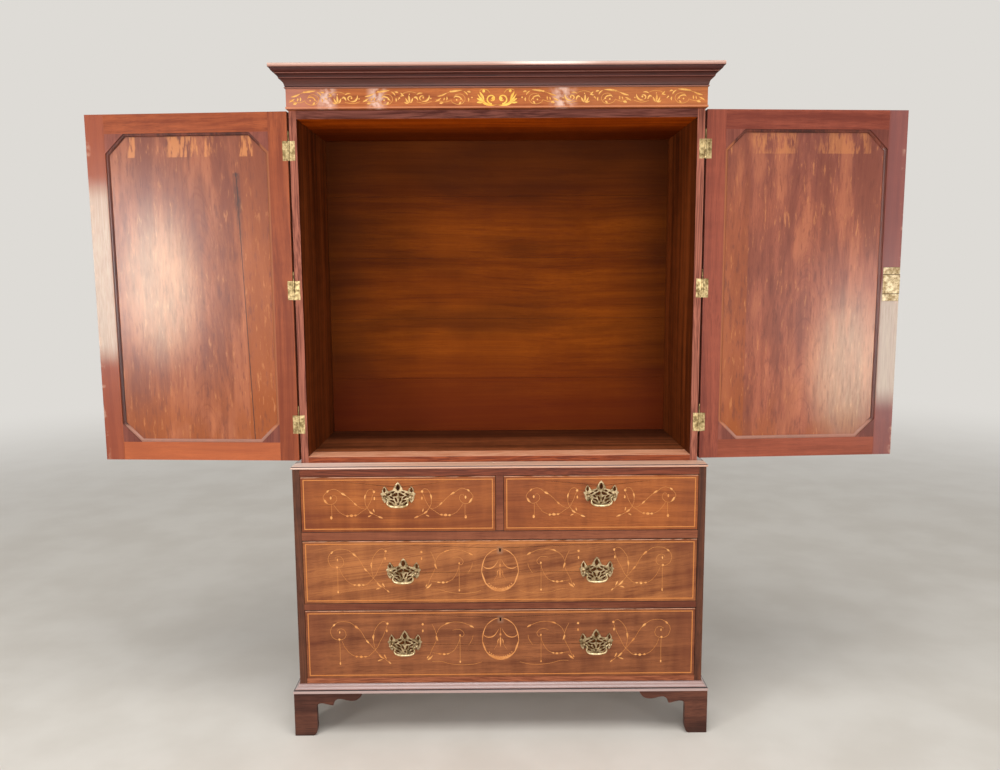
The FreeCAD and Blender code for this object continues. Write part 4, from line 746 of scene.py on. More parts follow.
# Dark lines at the ends of the cap and of the plate: painted shade of their steps.
lock_brass.wear(0.8 * off_middle.band(LOCK_CAP_HALF - 0.001, LOCK_CAP_HALF + 0.0012), tint(70, 44, 26))
lock_brass.wear(0.7 * off_middle.rise(LOCK_PLATE_HALF - 0.0016, LOCK_PLATE_HALF - 0.0008), tint(84, 52, 34))
dress(lock_brass.done(0.0003), "door_lock", arris=0.3)
bolt_brass = brass("bolt_brass", tint(128, 104, 62), tint(206, 180, 124)).done(0.0002)
dress(bolt_brass, "door_lock_bolt", "left_door_top_bolt", "left_door_bottom_bolt", arris=0)

# Drawers
# Each has a figured mahogany front, plain sides, back and bottom, and a lock bolt that rises into the case.
DRAWERS = {
    "left_short_drawer": {"dark": tint(118, 56, 22), "fair": tint(180, 104, 48), "span": (-601.5, -13),
                          "rise": (650.5, 820), "handles": (-307.25,), "pivot": 761, "lean": 0.03},
    "right_short_drawer": {"dark": tint(112, 52, 20), "fair": tint(174, 98, 46), "span": (13, 601.5),
                           "rise": (650.5, 820), "handles": (307.25,), "pivot": 761, "lean": -0.04},
    "middle_drawer": {"dark": tint(112, 58, 30), "fair": tint(180, 112, 62), "span": (-601.5, 601.5),
                      "rise": (423.5, 620), "handles": (-296, 296), "pivot": 522.5, "lean": 0.17},
    "bottom_drawer": {"dark": tint(98, 50, 28), "fair": tint(158, 95, 56), "span": (-601.5, 601.5),
                      "rise": (181.5, 399), "handles": (-296, 296), "pivot": 291, "lean": 0.05},
}
LONG_DRAWERS = ("middle_drawer", "bottom_drawer")
KEYHOLE_DROP = 31.0
BACK_BOARD = 0.0105
for order, (name, drawer) in enumerate(DRAWERS.items()):
    shift = 30.0 + 3.3 * order
    front = wood(f"{name}_front_mahogany", "X", drawer["dark"], drawer["fair"], shift, 0.5, even=0.03,
                 lean=drawer["lean"])
    front_x, front_z = front.axis("X"), front.axis("Z")
    head = drawer["rise"][1] * mm
    if name in LONG_DRAWERS:
        off_key = abs(front_z - (head - KEYHOLE_DROP * mm))
        front.wear(0.55 * abs(front_x).fall(0.004, 0.013) * off_key.fall(0.006, 0.016), tint(150, 112, 88))
    else:
        front.wear(0.4 * abs(front_x).fall(0.06, 0.3), tint(124, 62, 32))
    front.wear(0.35 * abs(front_x).rise(0.5, 0.6), tint(104, 48, 32))
    # Pale line along the top arris of the front: painted highlight.
    top_edge_highlight = front_z.rise(head - 0.0022, head - 0.0012) * front.lines.rise(0.4, 0.55)
    dress(front.wear(0.75 * top_edge_highlight, tint(226, 172, 142)).done(), f"{name}_front")
    box_wood = wood(f"{name}_box_wood", "Y", plain_dark, plain_fair, shift + 1.2, 0.1, 0.0, 0.6,
                    back_at=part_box(f"{name}_box")[1][1] - BACK_BOARD)
    dress(box_wood.done(0.0006), f"{name}_box", arris=0)
lock_bolt_brass = brass("lock_bolt_brass", tint(120, 98, 60), tint(200, 172, 118)).done(0.0002)
dress(lock_bolt_brass, *(f"{name}_lock_bolt" for name in DRAWERS), arris=0)

# Stringing and scroll inlay on the drawers
# Lines and sand-shaded leaves of pale wood let into the drawer fronts: a string round each front, and beside
# every handle two volutes with husks, buds and a drop.
INLAY_PROUD = 0.12
INLAY_DEPTH = 0.6


def let_in(shape, line, half_width, face, scorch=0.0):
    """Strip of veneer in an upright front: its edges lie half_width either side of the line, square to it,
    and it runs from just proud of the face to below it. Across and up in millimetres."""
    slope = np.gradient(line, axis=0)
    slope /= np.linalg.norm(slope, axis=1)[:, None] + 1e-9
    side = np.column_stack([-slope[:, 1], slope[:, 0]]) * np.reshape(half_width, (-1, 1))
    edges = np.stack([line + side, line - side, line - side, line + side], axis=1)
    proud = face - INLAY_PROUD - 0.002 * (shape.runs % 37)
    depth = [proud, proud, face + INLAY_DEPTH, face + INLAY_DEPTH]
    shape.run(laid_out(edges[..., 0], depth, edges[..., 1]), np.array([scorch, 0.0, 0.0, scorch]))


def leaf_width(count, width, belly=0.4):
    """Half widths of a leaf: nothing at both ends, widest at the belly's share of its length."""
    share = np.linspace(0.0, 1.0, count)
    swell = np.sin(np.pi * share ** (math.log(0.5) / math.log(belly)))
    return 0.5 * width * swell + 0.12


def leaf(shape, points, width, face, belly=0.4):
    """Leaf, husk or bud along a line of points."""
    let_in(shape, curve_through(points, 9), leaf_width(9, width, belly), face, 1.0)


def stem(shape, points, width, face):
    """Thin line through points, its ends a little finer."""
    count = 6 * len(points)
    share = np.linspace(-1, 1, count)
    let_in(shape, curve_through(points, count), 0.5 * width * (1 - 0.3 * share ** 4), face)


def bead(shape, centre, width, height, face):
    """Small lens of pale wood, standing."""
    share = np.linspace(-1, 1, 9)
    line = np.column_stack([np.full(9, centre[0]), centre[1] + 0.5 * height * share])
    let_in(shape, line, 0.5 * width * np.sqrt(np.maximum(1 - share ** 2, 0.0)) + 0.05, face, 0.6)


LONG_OUTER = {
    "stems": [
        [(66, -46), (82, -32), (92.5, -19), (101.7, -8.3), (110, 2), (120, 14), (131, 34), (141, 48.7),
         (155, 60.6), (168, 70), (186, 73.4), (204.5, 71.6), (217, 63), (226, 54), (229.3, 42), (227.5, 32),
         (222.5, 22), (212, 15.6), (202.7, 14.7), (190, 17.4), (182.5, 26.6), (182.5, 37.6), (188, 46.8),
         (197.2, 50.5), (206.4, 46.8), (207.3, 41.3)],
        [(202, 14), (201.4, -12), (201.6, -38), (201.8, -60)],
        [(195.4, 12), (188, -6.4), (175.2, -24.8), (162.3, -35.8), (150, -40), (137, -41), (122, -40),
         (112.7, -38.6), (103.6, -30.3), (92.5, -19.3), (83.4, -6.4), (76, 10), (66.8, 26.6), (57.7, 48.7),
         (54, 61.5)],
        [(92, -18), (96, 0), (97.5, 16), (95.5, 32), (93, 44), (83.4, 59.7), (72.3, 70.7), (63.2, 73.4),
         (55.8, 68.8)],
        [(66, -46), (56, -55), (46, -63)],
    ],
    "leaves": [
        ([(221, 58.8), (217.4, 63.3), (212.8, 67)], 4.8), ([(154, 60.6), (148, 55), (141.2, 48.7)], 5.8),
        ([(120, 13.8), (115, 7.5), (110, 1.8)], 4.8), ([(82.4, -32), (75, -41), (66.8, -48.7)], 4.8),
        ([(95.5, 32), (97.5, 22), (97, 12)], 5.4), ([(65, -34), (62, -41), (57.7, -48.7)], 4.0),
        ([(154.8, -39.8), (150, -40), (145.6, -40.2)], 5.0),
        ([(128, -39.8), (123, -40.4), (118, -40.4)], 4.5),
        ([(52, -57), (48, -61), (44, -65)], 3.6), ([(86, -55), (78, -52), (70, -50)], 3.2),
    ],
    "beads": [((136.6, -41), 9, 8), ((200.9, 39.5), 3.6, 9), ((202.7, 16), 7, 7), ((201.8, -62.4), 4.6, 9),
              ((53, 66), 7, 7.5), ((55.3, 43), 4.6, 10)],
}
LONG_INNER = {
    "stems": [
        [(73, -46), (82, -22), (92, -2), (98, 14), (97, 32), (91, 50), (84, 64)],
        [(97, 30), (106, 48), (120, 60), (140, 68), (160, 70), (180, 67), (200, 59), (213, 52)],
        [(148, 43), (160, 46), (172, 45), (181, 37), (183, 29), (178, 22), (171, 23)],
        [(170.5, 25), (170.5, 0), (170.5, -30), (170.5, -58)],
        [(211, 27), (209, 15), (203, 4), (197, -6)],
        [(84, -30), (95, -31), (108, -33.4), (122, -34), (136, -32), (150, -24), (160, -10), (168, 8),
         (171, 22)],
        [(84, -58), (110, -58), (140, -66), (175, -70), (210, -68), (237, -61)],
    ],
    "leaves": [
        ([(96.6, 26), (99, 18), (103, 8)], 5.0), ([(200, 59), (208, 55), (214, 51)], 4.6),
        ([(102, -32), (108, -33.5), (114, -33.6)], 4.0), ([(128, -34), (133, -33), (138, -31)], 3.6),
        ([(69, -53), (78, -46), (86, -38)], 5.0), ([(67, -48), (70, -43), (72, -38)], 3.2),
        ([(124, 62), (132, 66), (142, 68)], 4.0),
    ],
    "beads": [((121, -34.4), 9, 6.5), ((56, 63), 7, 7.5), ((56, 42), 4.6, 9), ((171, 26), 5, 7),
              ((170.5, -59.5), 4.6, 8)],
}
SHORT = {
    "stems": [
        [(97.8, -39.2), (110, -38), (123.7, -29.8), (133.9, -20.4), (146, -8), (157.5, 1.9), (172.4, 11),
         (182, 18.5), (193.6, 22.8), (206, 19.6), (216, 13), (224, 4), (226.6, -4), (223.4, -13), (216, -21),
         (206, -25), (195, -22), (187.5, -14), (185.8, -6), (189, 2), (196, 4), (200, -1)],
        [(202.2, -26), (202, -44), (201.9, -61)],
        [(196, -25), (187, -39), (175, -52), (162, -58.5), (154, -60.4), (142.6, -60.2), (130, -58.9),
         (121.4, -55.7), (110.4, -47.1), (97.8, -39.2), (90, -28.3), (82.1, -12.6), (77.4, 1.6), (73.5, 9.4)],
        [(74, 17), (77, 21), (82, 22.3), (90, 18.8), (95.5, 11), (99.4, -1.6), (100.2, -20.4), (97, -31.4),
         (91.5, -40.8), (83.7, -50.2), (75.8, -55.7), (68, -59.7), (60, -63.6), (46.8, -69)],
    ],
    "leaves": [
        ([(216.3, 12.6), (212.4, 16.5), (208.5, 20.1)], 4.8),
        ([(223.4, -8), (219, -17), (212.4, -23.6)], 5.4),
        ([(172.4, 11), (165, 7), (157.5, 1.9)], 5.4), ([(133.9, -20.4), (129, -25), (123.7, -29.8)], 4.4),
        ([(97.5, 6), (100.2, -2), (100.5, -11)], 4.4), ([(88.4, -47.1), (82, -52), (75.8, -55.7)], 5.0),
        ([(61.7, -62.8), (54, -66), (46.8, -69)], 4.6), ([(75.8, -39.2), (74.5, -45), (72.7, -50.2)], 3.4),
        ([(93.1, -64.4), (88, -61.5), (82.1, -59.7)], 3.2),
        ([(159, -60.6), (154.3, -60.6), (149.6, -60.4)], 6.0),
        ([(135, -59.4), (130, -59), (125, -58.4)], 5.4),
    ],
    "beads": [((204, -4.7), 5.6, 9.4), ((204, -66.3), 7, 11), ((142.6, -60), 11, 8), ((72.7, 13.7), 7.6, 8),
              ((71.9, -7), 4.6, 10)],
}


def set_out(points, place, hand=1):
    """Points measured outwards and up from a place, to the right of it or mirrored to the left."""
    return np.asarray(points, float) * (hand, 1) + place


def ornament(shape, pattern, place, hand, face, line_width=1.1, fullness=1.15, belly=0.4):
    """One side of an ornament: its stems, leaves and beads set out from a place."""
    for points in pattern["stems"]:
        stem(shape, set_out(points, place, hand), line_width, face)
    for points, width in pattern["leaves"]:
        leaf(shape, set_out(points, place, hand), fullness * width, face, belly)
    for centre, width, height in pattern["beads"]:
        bead(shape, set_out(centre, place, hand), width, height, face)


def pale_wood(name, dark, fair):
    """Pale inlay wood under the same polish: fine streaks, and a brown scorch along one edge of each leaf."""
    finish = Finish(name, {"Coat Weight": 0.1, "Coat Roughness": 0.2, "Specular IOR Level": 0.16})
    scorch = finish.node("ShaderNodeAttribute", {"attribute_name": "scorch"}, output="Fac")
    speck = finish.noise(finish.stretched((0.2, 1.0, 1.0)), 700.0, 3.0)
    worn = finish.noise(finish.place, 24.0, 3.0)
    finish.colour = (0.5 * speck + 0.5 * worn).rise(0.34, 0.62).mix(dark, fair)
    finish.wear(0.55 * scorch.rise(0.35, 1.0), tint(150, 84, 44))
    finish.wear(scorch.fall(0.0, 0.05) * (0.3 + 0.5 * worn), tint(176, 102, 46))
    finish.rough = 0.36 + 0.16 * speck
    finish.height = speck
    return finish.done(0.0002)


inlay_wood = pale_wood("inlay_pale_wood", tint(202, 126, 64), tint(234, 170, 102))
string_wood = pale_wood("stringing_pale_wood", tint(206, 124, 62), tint(228, 154, 88))
STRING_WIDTH = 3.1
STRING_INSET = 7.0
string_edges = STRING_INSET + STRING_WIDTH * np.array([0, 1, 1, 0])
string_depth = CASE_FRONT + np.array([-INLAY_PROUD, -INLAY_PROUD, INLAY_DEPTH, INLAY_DEPTH])
for name, drawer in DRAWERS.items():
    (left, right), (foot, head) = drawer["span"], drawer["rise"]
    corner = np.array([[left, foot, 1, 1], [right, foot, -1, 1], [right, head, -1, -1], [left, head, 1, -1]])
    near = corner[:, None, :2] + corner[:, None, 2:] * string_edges[:, None]
    string = Shape()
    string.run(laid_out(near[..., 0], string_depth, near[..., 1]), closed=True)
    string.made(f"{name}_stringing", name, string_wood, slot="figured_mahogany")
    scrolls = Shape()
    for x in drawer["handles"]:
        outside = math.copysign(1, x)
        patterns = ((SHORT, 1), (SHORT, -1))
        if name in LONG_DRAWERS:
            patterns = ((LONG_OUTER, outside), (LONG_INNER, -outside))
        for pattern, hand in patterns:
            ornament(scrolls, pattern, (x, drawer["pivot"]), hand, CASE_FRONT)
    scrolls.made(f"{name}_scrolls", name, inlay_wood, slot="figured_mahogany")

# Oval garlands
# In the middle of each long drawer an oval of shaded leaves that swells to a crescent at its foot, and in it
# two swags and a hanging drop. The keyhole is a plain slot at its head, cut through to the lock.
OVAL_HALF_WIDTH = 57.0
OVAL_HALF_HEIGHT = 69.0
OVAL_DROP = 63.0
OVAL_MEAN_RADIUS = 62.0
OVAL_PARTS = ((5, 52, 1.0, 3.0), (50, 97, 1.2, 3.6), (95, 130, 1.6, 5.2))
OVAL_LEAVES = (138, 147, 156, 165, 174)
SWAG = [(53, 15), (46, 8), (36, 5.6), (27, 7), (19, 11.5), (10, 23), (4, 35)]
oval_wood = pale_wood("oval_pale_wood", tint(190, 118, 62), tint(222, 152, 90))


def oval_point(degrees):
    """Points of the oval at angles off its head, outwards and up from its middle."""
    turn = np.radians(degrees)
    return np.stack([OVAL_HALF_WIDTH * np.sin(turn), OVAL_HALF_HEIGHT * np.cos(turn)], axis=-1)


def oval_part(shape, middle, side, span, half_widths, scorch):
    """Part of the oval from one angle to another, drawn in by half its width to keep its outer edge."""
    inwards = 1 - half_widths / OVAL_MEAN_RADIUS
    line = oval_point(np.linspace(*span, len(half_widths))) * inwards[:, None]
    let_in(shape, set_out(line, middle, side), half_widths, CASE_FRONT, scorch)


for name in LONG_DRAWERS:
    middle = (0.0, DRAWERS[name]["rise"][1] - KEYHOLE_DROP - OVAL_DROP)
    oval = Shape()
    for side in (1, -1):
        for first, last, thin, thick in OVAL_PARTS:
            swell = np.sin(np.linspace(0, np.pi, 15))
            oval_part(oval, middle, side, (first, last), 0.5 * (thin + (thick - thin) * swell), 0.8)
        crescent = 0.5 * (2.4 + 8.6 * np.sin(np.linspace(0, np.pi / 2, 15)) ** 1.4)
        oval_part(oval, middle, side, (126, 180), crescent, 0.5)
        for degrees in OVAL_LEAVES:
            root = 0.88 * oval_point(degrees)
            tip = 0.8 * oval_point(degrees) + (5.0, 0.0)
            leaf(oval, set_out([root, 0.5 * (root + tip), tip], middle, side), 4.4, CASE_FRONT)
        swag = set_out(curve_through(SWAG, 25), middle, side)
        let_in(oval, swag, leaf_width(25, 3.2, 0.45), CASE_FRONT, 0.6)
        stem(oval, set_out([(4, -7), (11, -20), (20, -35)], middle, side), 0.9, CASE_FRONT)
        leaf(oval, set_out([(4, 2), (8, -6), (9, -15)], middle, side), 2.6, CASE_FRONT)
    stem(oval, set_out([(0, 36), (0, 28), (0, 20)], middle), 1.2, CASE_FRONT)
    bead(oval, set_out((0, 15), middle), 6.0, 10.0, CASE_FRONT)
    leaf(oval, set_out([(0, 9), (0, -8), (0, -26)], middle), 5.6, CASE_FRONT, 0.45)
    oval.made(f"{name}_oval", name, oval_wood, slot="figured_mahogany")

# Frieze inlay
# A running scroll of yellow wood along the frieze: curled stems with leaves and buds that lead from both ends
# to a pair of acanthus leaves back to back in the middle.
FRIEZE_MIDDLE = 1929.0
FAN = {
    "leaves": [
        ([(40, 14), (35, 9), (30, 4)], 3.4), ([(42, 4), (36, 5), (30, 6)], 2.6),
        ([(14, -16), (21, -11), (26, -1)], 4.2), ([(13.5, -15), (15.5, -5), (16, 6.5)], 4.8),
        ([(12.5, -16), (8, -9), (4.5, -1.5)], 4.2), ([(3, -2), (-3, 1.5), (-8, -3), (-10, -9)], 4.4),
        ([(-28, 2.5), (-22, 4.5), (-16, 1), (-16, -5), (-21, -8)], 3.0),
        ([(-20, -11), (-33, -9.5), (-41, -2), (-42.5, 7)], 4.2), ([(30, -12), (24, -15), (17, -17)], 3.4),
        ([(-6, 8), (-14, 12), (-24, 12)], 2.8),
    ],
    "stems": [[(-6, -12), (-28, -16), (-50, -11)], [(36, 8), (26, 14), (10, 16), (-6, 12)]],
    "beads": [((14.5, 9), 2.8, 3.2), ((-25.5, -0.5), 5, 5), ((-47, -3), 3.4, 3.6), ((46, -4), 3.2, 3.4)],
}
SCROLL = {
    "leaves": [
        ([(12, 15), (-4, 17.5), (-27, 20)], 4.6), ([(46, 3), (32, 6), (17, 12.5)], 3.8),
        ([(52, -12), (43, -7), (34, -2)], 3.6), ([(40, -17), (34, -15), (28, -15)], 5.0),
        ([(28, -9), (26, -4), (25, 0)], 3.4), ([(19, -9), (18, -3), (18, 2)], 3.8),
        ([(-1, -2), (-8, 3), (-20, 0), (-29, -11)], 3.2), ([(-16, -19), (-20, -15), (-23, -12)], 4.2),
        ([(-43, -1), (-45, -6), (-44, -12)], 3.6), ([(-40, 16), (-46, 15.5), (-51, 14)], 3.8),
        ([(-30, 17), (-38, 12), (-42, 5)], 3.2),
    ],
    "stems": [[(6, -6), (2, -14), (-12, -19.5), (-26, -17), (-34, -7), (-31, 4), (-20, 9), (-8, 7), (-3, 1)],
              [(50, -6), (38, -10), (22, -13), (6, -8)], [(17, 12), (8, 16), (-4, 18)]],
    "beads": [((7, 16), 6, 5), ((-10, -7), 4.6, 4.6), ((-54, -1), 4.5, 4.2), ((-22, -5), 3.4, 3.4)],
}
GROUPS = ((126, SCROLL), (237, FAN), (334, SCROLL), (443, FAN), (546, SCROLL))
ACANTHUS = [(0, -21), (12, -22.5), (26, -21), (38, -15), (46, -5), (56, 9)]
ACANTHUS_ROOT = (36, -16)
ACANTHUS_LOBES = (((48, -9), (58, -3)), ((48, -15), (59, -14)), ((44, 4), (50, 16)), ((40, -2), (44, 10)))
ACANTHUS_TENDRIL = [(50, 19), (40, 22), (28, 20), (20, 12)]
gold_wood = pale_wood("frieze_inlay_yellow_wood", tint(214, 146, 66), tint(246, 192, 106))
middle_wood = pale_wood("frieze_middle_yellow_wood", tint(232, 160, 58), tint(255, 206, 96))


def volute(centre, radius, turns, start):
    """Spiral line that closes in: its radius falls evenly to a quarter while it turns."""
    share = np.linspace(0, 1, int(16 * turns) + 2)
    angle = np.radians(start) + 2 * np.pi * turns * share
    reach = radius * (1 - 0.75 * share)
    return np.column_stack([centre[0] + reach * np.cos(angle), centre[1] + 0.92 * reach * np.sin(angle)])


rinceau = Shape()
for side in (1, -1):
    for place, group in GROUPS:
        ornament(rinceau, group, (side * place, FRIEZE_MIDDLE), side, FRIEZE_FACE, 1.7, 1.25, 0.5)
rinceau.made("frieze_scrolls", "case", gold_wood, slot="figured_mahogany")
acanthus_pair = Shape()
frieze_centre = (0.0, FRIEZE_MIDDLE)
curl = volute((15, -5), 15.5, 1.15, 270)
curl_width = np.linspace(2.2, 1.0, len(curl))
for side in (1, -1):
    blade = set_out(curve_through(ACANTHUS, 25), frieze_centre, side)
    let_in(acanthus_pair, blade, leaf_width(25, 8.0, 0.6), FRIEZE_FACE, 0.7)
    for bend, tip in ACANTHUS_LOBES:
        lobe_line = set_out([ACANTHUS_ROOT, bend, tip], frieze_centre, side)
        leaf(acanthus_pair, lobe_line, 5.4, FRIEZE_FACE, 0.6)
    let_in(acanthus_pair, set_out(curl, frieze_centre, side), curl_width, FRIEZE_FACE, 0.5)
    bead(acanthus_pair, set_out((11, -4), frieze_centre, side), 10.0, 10.0, FRIEZE_FACE)
    bead(acanthus_pair, set_out((38, 17), frieze_centre, side), 8.0, 8.0, FRIEZE_FACE)
    stem(acanthus_pair, set_out(ACANTHUS_TENDRIL, frieze_centre, side), 2.0, FRIEZE_FACE)
acanthus_pair.made("frieze_acanthus", "case", middle_wood, slot="figured_mahogany")

# Handles
# Cast brass: a pierced crown-shaped plate, two turned posts held by nuts inside the drawer front, and a
# swan-neck bail that swings in the posts. It is tarnished in the hollows and bright where touched.
PLATE_HALF = [
    (0, -37), (3, -36), (12, -34.6), (22, -31), (29.5, -24), (32.5, -16), (34, -12), (37, -17), (40, -22),
    (45, -16), (48.5, -9), (49.5, -1), (50.5, 3.5), (53, 5), (53, 8), (50.5, 10), (47.5, 13), (49, 17.5),
    (46, 24), (41, 31), (36, 25), (32, 18.5), (28.5, 15), (22, 17.5), (16.5, 18.5), (14, 21), (13.2, 26),
    (10.5, 29), (8.8, 34), (4.5, 39.5), (0, 44)]
PLATE_PIERCINGS = [
    [(-41, 27), (-45, 19.4), (-43.6, 13), (-41, 11), (-38.4, 13), (-37, 19.4)],
    [(-21, 10), (-16.8, 14.8), (-9.8, 15), (-13.5, 9.8)], [(-34.4, 3), (-28, 8.2), (-21.8, 7.8), (-27, 2.2)],
    [(-19.4, 1.4), (-11, 7.2), (-3, 10.6), (-1.8, 3.6), (-8.4, -1)],
    [(-27, -0.8), (-19.5, -1), (-13.2, -7.6), (-19, -8.8)],
    [(-10.8, -3.6), (-4.4, -7.6), (-2.6, -19.4), (-8.6, -13.4)],
    [(-27, -12.6), (-18, -11.4), (-12.4, -15.2), (-9.8, -22.6), (-17, -18)],
    [(-44.6, -4), (-36, -2.4), (-29.4, -6.8), (-37, -10.2)],
    [(-28.4, -18.8), (-22, -20.2), (-14.5, -27.8), (-23.5, -26)],
]
PLATE_HEAD_HOLE = [(0, 37.5), (-5, 30.5), (-5.8, 24), (0, 16.4), (5.8, 24), (5, 30.5)]
PLATE_FOOT_HOLE = [(0, -20.8), (-2.8, -24.6), (0, -28.4), (2.8, -24.6)]
PLATE_THICKNESS = 2.0
POST_SPREAD = 39
PIVOT_REACH = 18.0
FRONT_THICKNESS = 22.0
KEY_SLOT_RISE = 25.5
handle_metal = brass("handle_brass", tint(102, 82, 52), tint(206, 184, 146), 0.34).done(0.0004)
bail_metal = brass("bail_brass", tint(160, 136, 94), tint(234, 216, 174), 0.3).done(0.0003)


def polish_and_shade(name, dark, fair):
    """Dark wax and dirt under the plates, with painted shade in their piercings, and painted shade in the
    keyholes.
    """
    finish = Finish(name, {"Specular IOR Level": 0.05})
    speck = finish.noise(finish.place, 420.0, 3.0)
    finish.colour = speck.rise(0.3, 0.7).mix(dark, fair)
    finish.rough = 0.65 + 0.25 * speck
    finish.height = speck
    return finish.done(0.0003)


# Sheet under each plate: old polish and painted shade, seen through the piercings.
shaded_plate_bed = polish_and_shade("plate_bed_polish", tint(44, 22, 10), tint(98, 56, 26))
keyhole_shade = polish_and_shade("keyhole_shadow", tint(8, 4, 3), tint(26, 12, 8))


def flat_plate(outlines, thickness, round_over, centre, face, material):
    """Plate sawn to the first outline and pierced by the others, with rounded edges, stood against a face."""
    curve = bpy.data.curves.new("plate_outline", "CURVE")
    curve.dimensions = "2D"
    curve.fill_mode = "BOTH"
    curve.extrude = (0.5 * thickness - round_over) * mm
    curve.bevel_depth = round_over * mm
    curve.bevel_resolution = 1
    curve.offset = -round_over * mm
    for outline in outlines:
        spline = curve.splines.new("POLY")
        spline.points.add(len(outline) - 1)
        flat = np.zeros((len(outline), 4))
        flat[:, :2] = outline * mm
        flat[:, 3] = 1.0
        spline.points.foreach_set("co", flat.ravel())
        spline.use_cyclic_u = True
    drawn = bpy.data.objects.new("plate_outline", curve)
    bpy.context.scene.collection.objects.link(drawn)
    bpy.context.view_layer.update()
    mesh = bpy.data.meshes.new_from_object(drawn.evaluated_get(bpy.context.evaluated_depsgraph_get()))
    bpy.data.objects.remove(drawn)
    bpy.data.curves.remove(curve)
    mesh.materials.clear()
    mesh.materials.append(material)
    mesh.transform(Matrix(((1, 0, 0, centre[0] * mm), (0, 0, -1, (face - 0.5 * thickness) * mm),
                           (0, 1, 0, centre[1] * mm), (0, 0, 0, 1))))
    return mesh


def closed_curve(points, count):
    """Smooth loop through points, by running the line on past its start and keeping one turn."""
    loop = list(points[-2:]) + list(points) + list(points[:3])
    steps = count // len(points)
    whole = curve_through(loop, steps * (len(loop) - 1) + 1)
    return whole[2 * steps:(2 + len(points)) * steps]


def turned(profile, centre, sides=24):
    """Turning about an axis from front to back: radius and depth of its profile carried round in a circle."""
    angle = np.linspace(0, 2 * np.pi, sides, endpoint=False)
    radius, depth = np.asarray(profile, float).T[..., None]
    return laid_out(centre[0] + radius * np.cos(angle), depth, centre[1] + radius * np.sin(angle))


def keyhole(name, x, middle, half_height, half_width, power, face):
    """Upright key slot of painted shade. Its half width goes with the root of one less a power of the height.
    """
    share = np.linspace(-1, 1, 13)
    line = np.column_stack([np.full(13, x), middle + half_height * share])
    slit = Shape()
    let_in(slit, line, half_width * np.sqrt(1.02 - share ** power), face)
    slit.made(f"{name}_keyhole", name, keyhole_shade, slot="mahogany")


plate_outline = np.array(PLATE_HALF + [(-a, b) for a, b in PLATE_HALF[-2:0:-1]])
holes = [closed_curve(points, 16) for points in PLATE_PIERCINGS]
holes += [hole * (-1, 1) for hole in holes]
holes += [closed_curve(PLATE_HEAD_HOLE, 24), closed_curve(PLATE_FOOT_HOLE, 16)]
plate_front = CASE_FRONT - PLATE_THICKNESS
knob = arc((CASE_FRONT - PIVOT_REACH, 0.0), 5.5, 40, 180, 10)
post_profile = [(0.3, plate_front + 0.5), (6.2, plate_front + 0.5), (6.2, plate_front - 1.0),
                (5.0, plate_front - 2.2), (3.6, plate_front - 4.5), (3.4, plate_front - 8.0)]
post_profile += [(height, depth) for depth, height in knob[:-1]] + [(0.2, knob[-1, 0])]
nut_profile = np.array([(0.2, 0), (7.0, 0), (7.0, 3.2), (6.2, 4), (2.5, 4), (2.5, 5), (0.2, 5)])
nut_profile[:, 1] += CASE_FRONT + FRONT_THICKNESS
neck = curve_through([(45.5, 0), (40, 0), (36, -0.4), (32, -2.4), (28.8, -6), (29, -10.6), (31.2, -15.4),
                      (30, -20.8), (25.4, -25.4), (17.4, -28.4), (8.4, -29.5), (0, -29.8)], 45)
bail_line = np.vstack([neck, (neck[:-1] * (-1, 1))[::-1]])
bail_radius = (2.0 + 1.1 * np.clip((-bail_line[:, 1] - 12) / 16, 0, 1))[:, None]
bail_slope = np.gradient(bail_line, axis=0)
bail_slope /= np.linalg.norm(bail_slope, axis=1)[:, None]
around = np.linspace(0, 2 * np.pi, 14, endpoint=False)
swell = bail_radius * np.cos(around)
bail_rings = laid_out(bail_line[:, :1] - bail_slope[:, 1:] * swell, bail_radius * np.sin(around),
                      bail_line[:, 1:] + bail_slope[:, :1] * swell)
for name, drawer in DRAWERS.items():
    pivot = drawer["pivot"]
    for x in drawer["handles"]:
        label = ""
        if name in LONG_DRAWERS:
            label = "_left" if x < 0 else "_right"
        # Dark sheet under the plate: old polish with painted shade for the piercings.
        bed = flat_plate([0.93 * plate_outline], 0.2, 0.0, (x, pivot), CASE_FRONT, shaded_plate_bed)
        placed(f"{name}{label}_shaded_plate_bed", bed, name)
        plate = flat_plate([plate_outline] + holes, PLATE_THICKNESS, 0.7, (x, pivot), CASE_FRONT,
                           handle_metal)
        plate_piece = placed(f"{name}{label}_plate", plate, name, 40)
        if name not in LONG_DRAWERS:
            keyhole(name, x, pivot + KEY_SLOT_RISE, 6.0, 2.2, 4, CASE_FRONT - 0.2)
        posts = Shape()
        for post_x in (x - POST_SPREAD, x + POST_SPREAD):
            posts.run(turned(post_profile, (post_x, pivot)))
            posts.run(turned(nut_profile, (post_x, pivot)))
        posts.made(f"{name}{label}_posts", name, handle_metal, slot="brass")
        if label != "_right":
            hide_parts(f"{name}_brasses")
        bail = Shape()
        bail.run(bail_rings + laid_out(x, CASE_FRONT - PIVOT_REACH, pivot))
        bail_body = f"{name}{label}_bail"
        bail_piece = bail.made(f"{name}{label}_handle", bail_body, bail_metal, slot="brass", crease=60)
        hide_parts(bail_body)

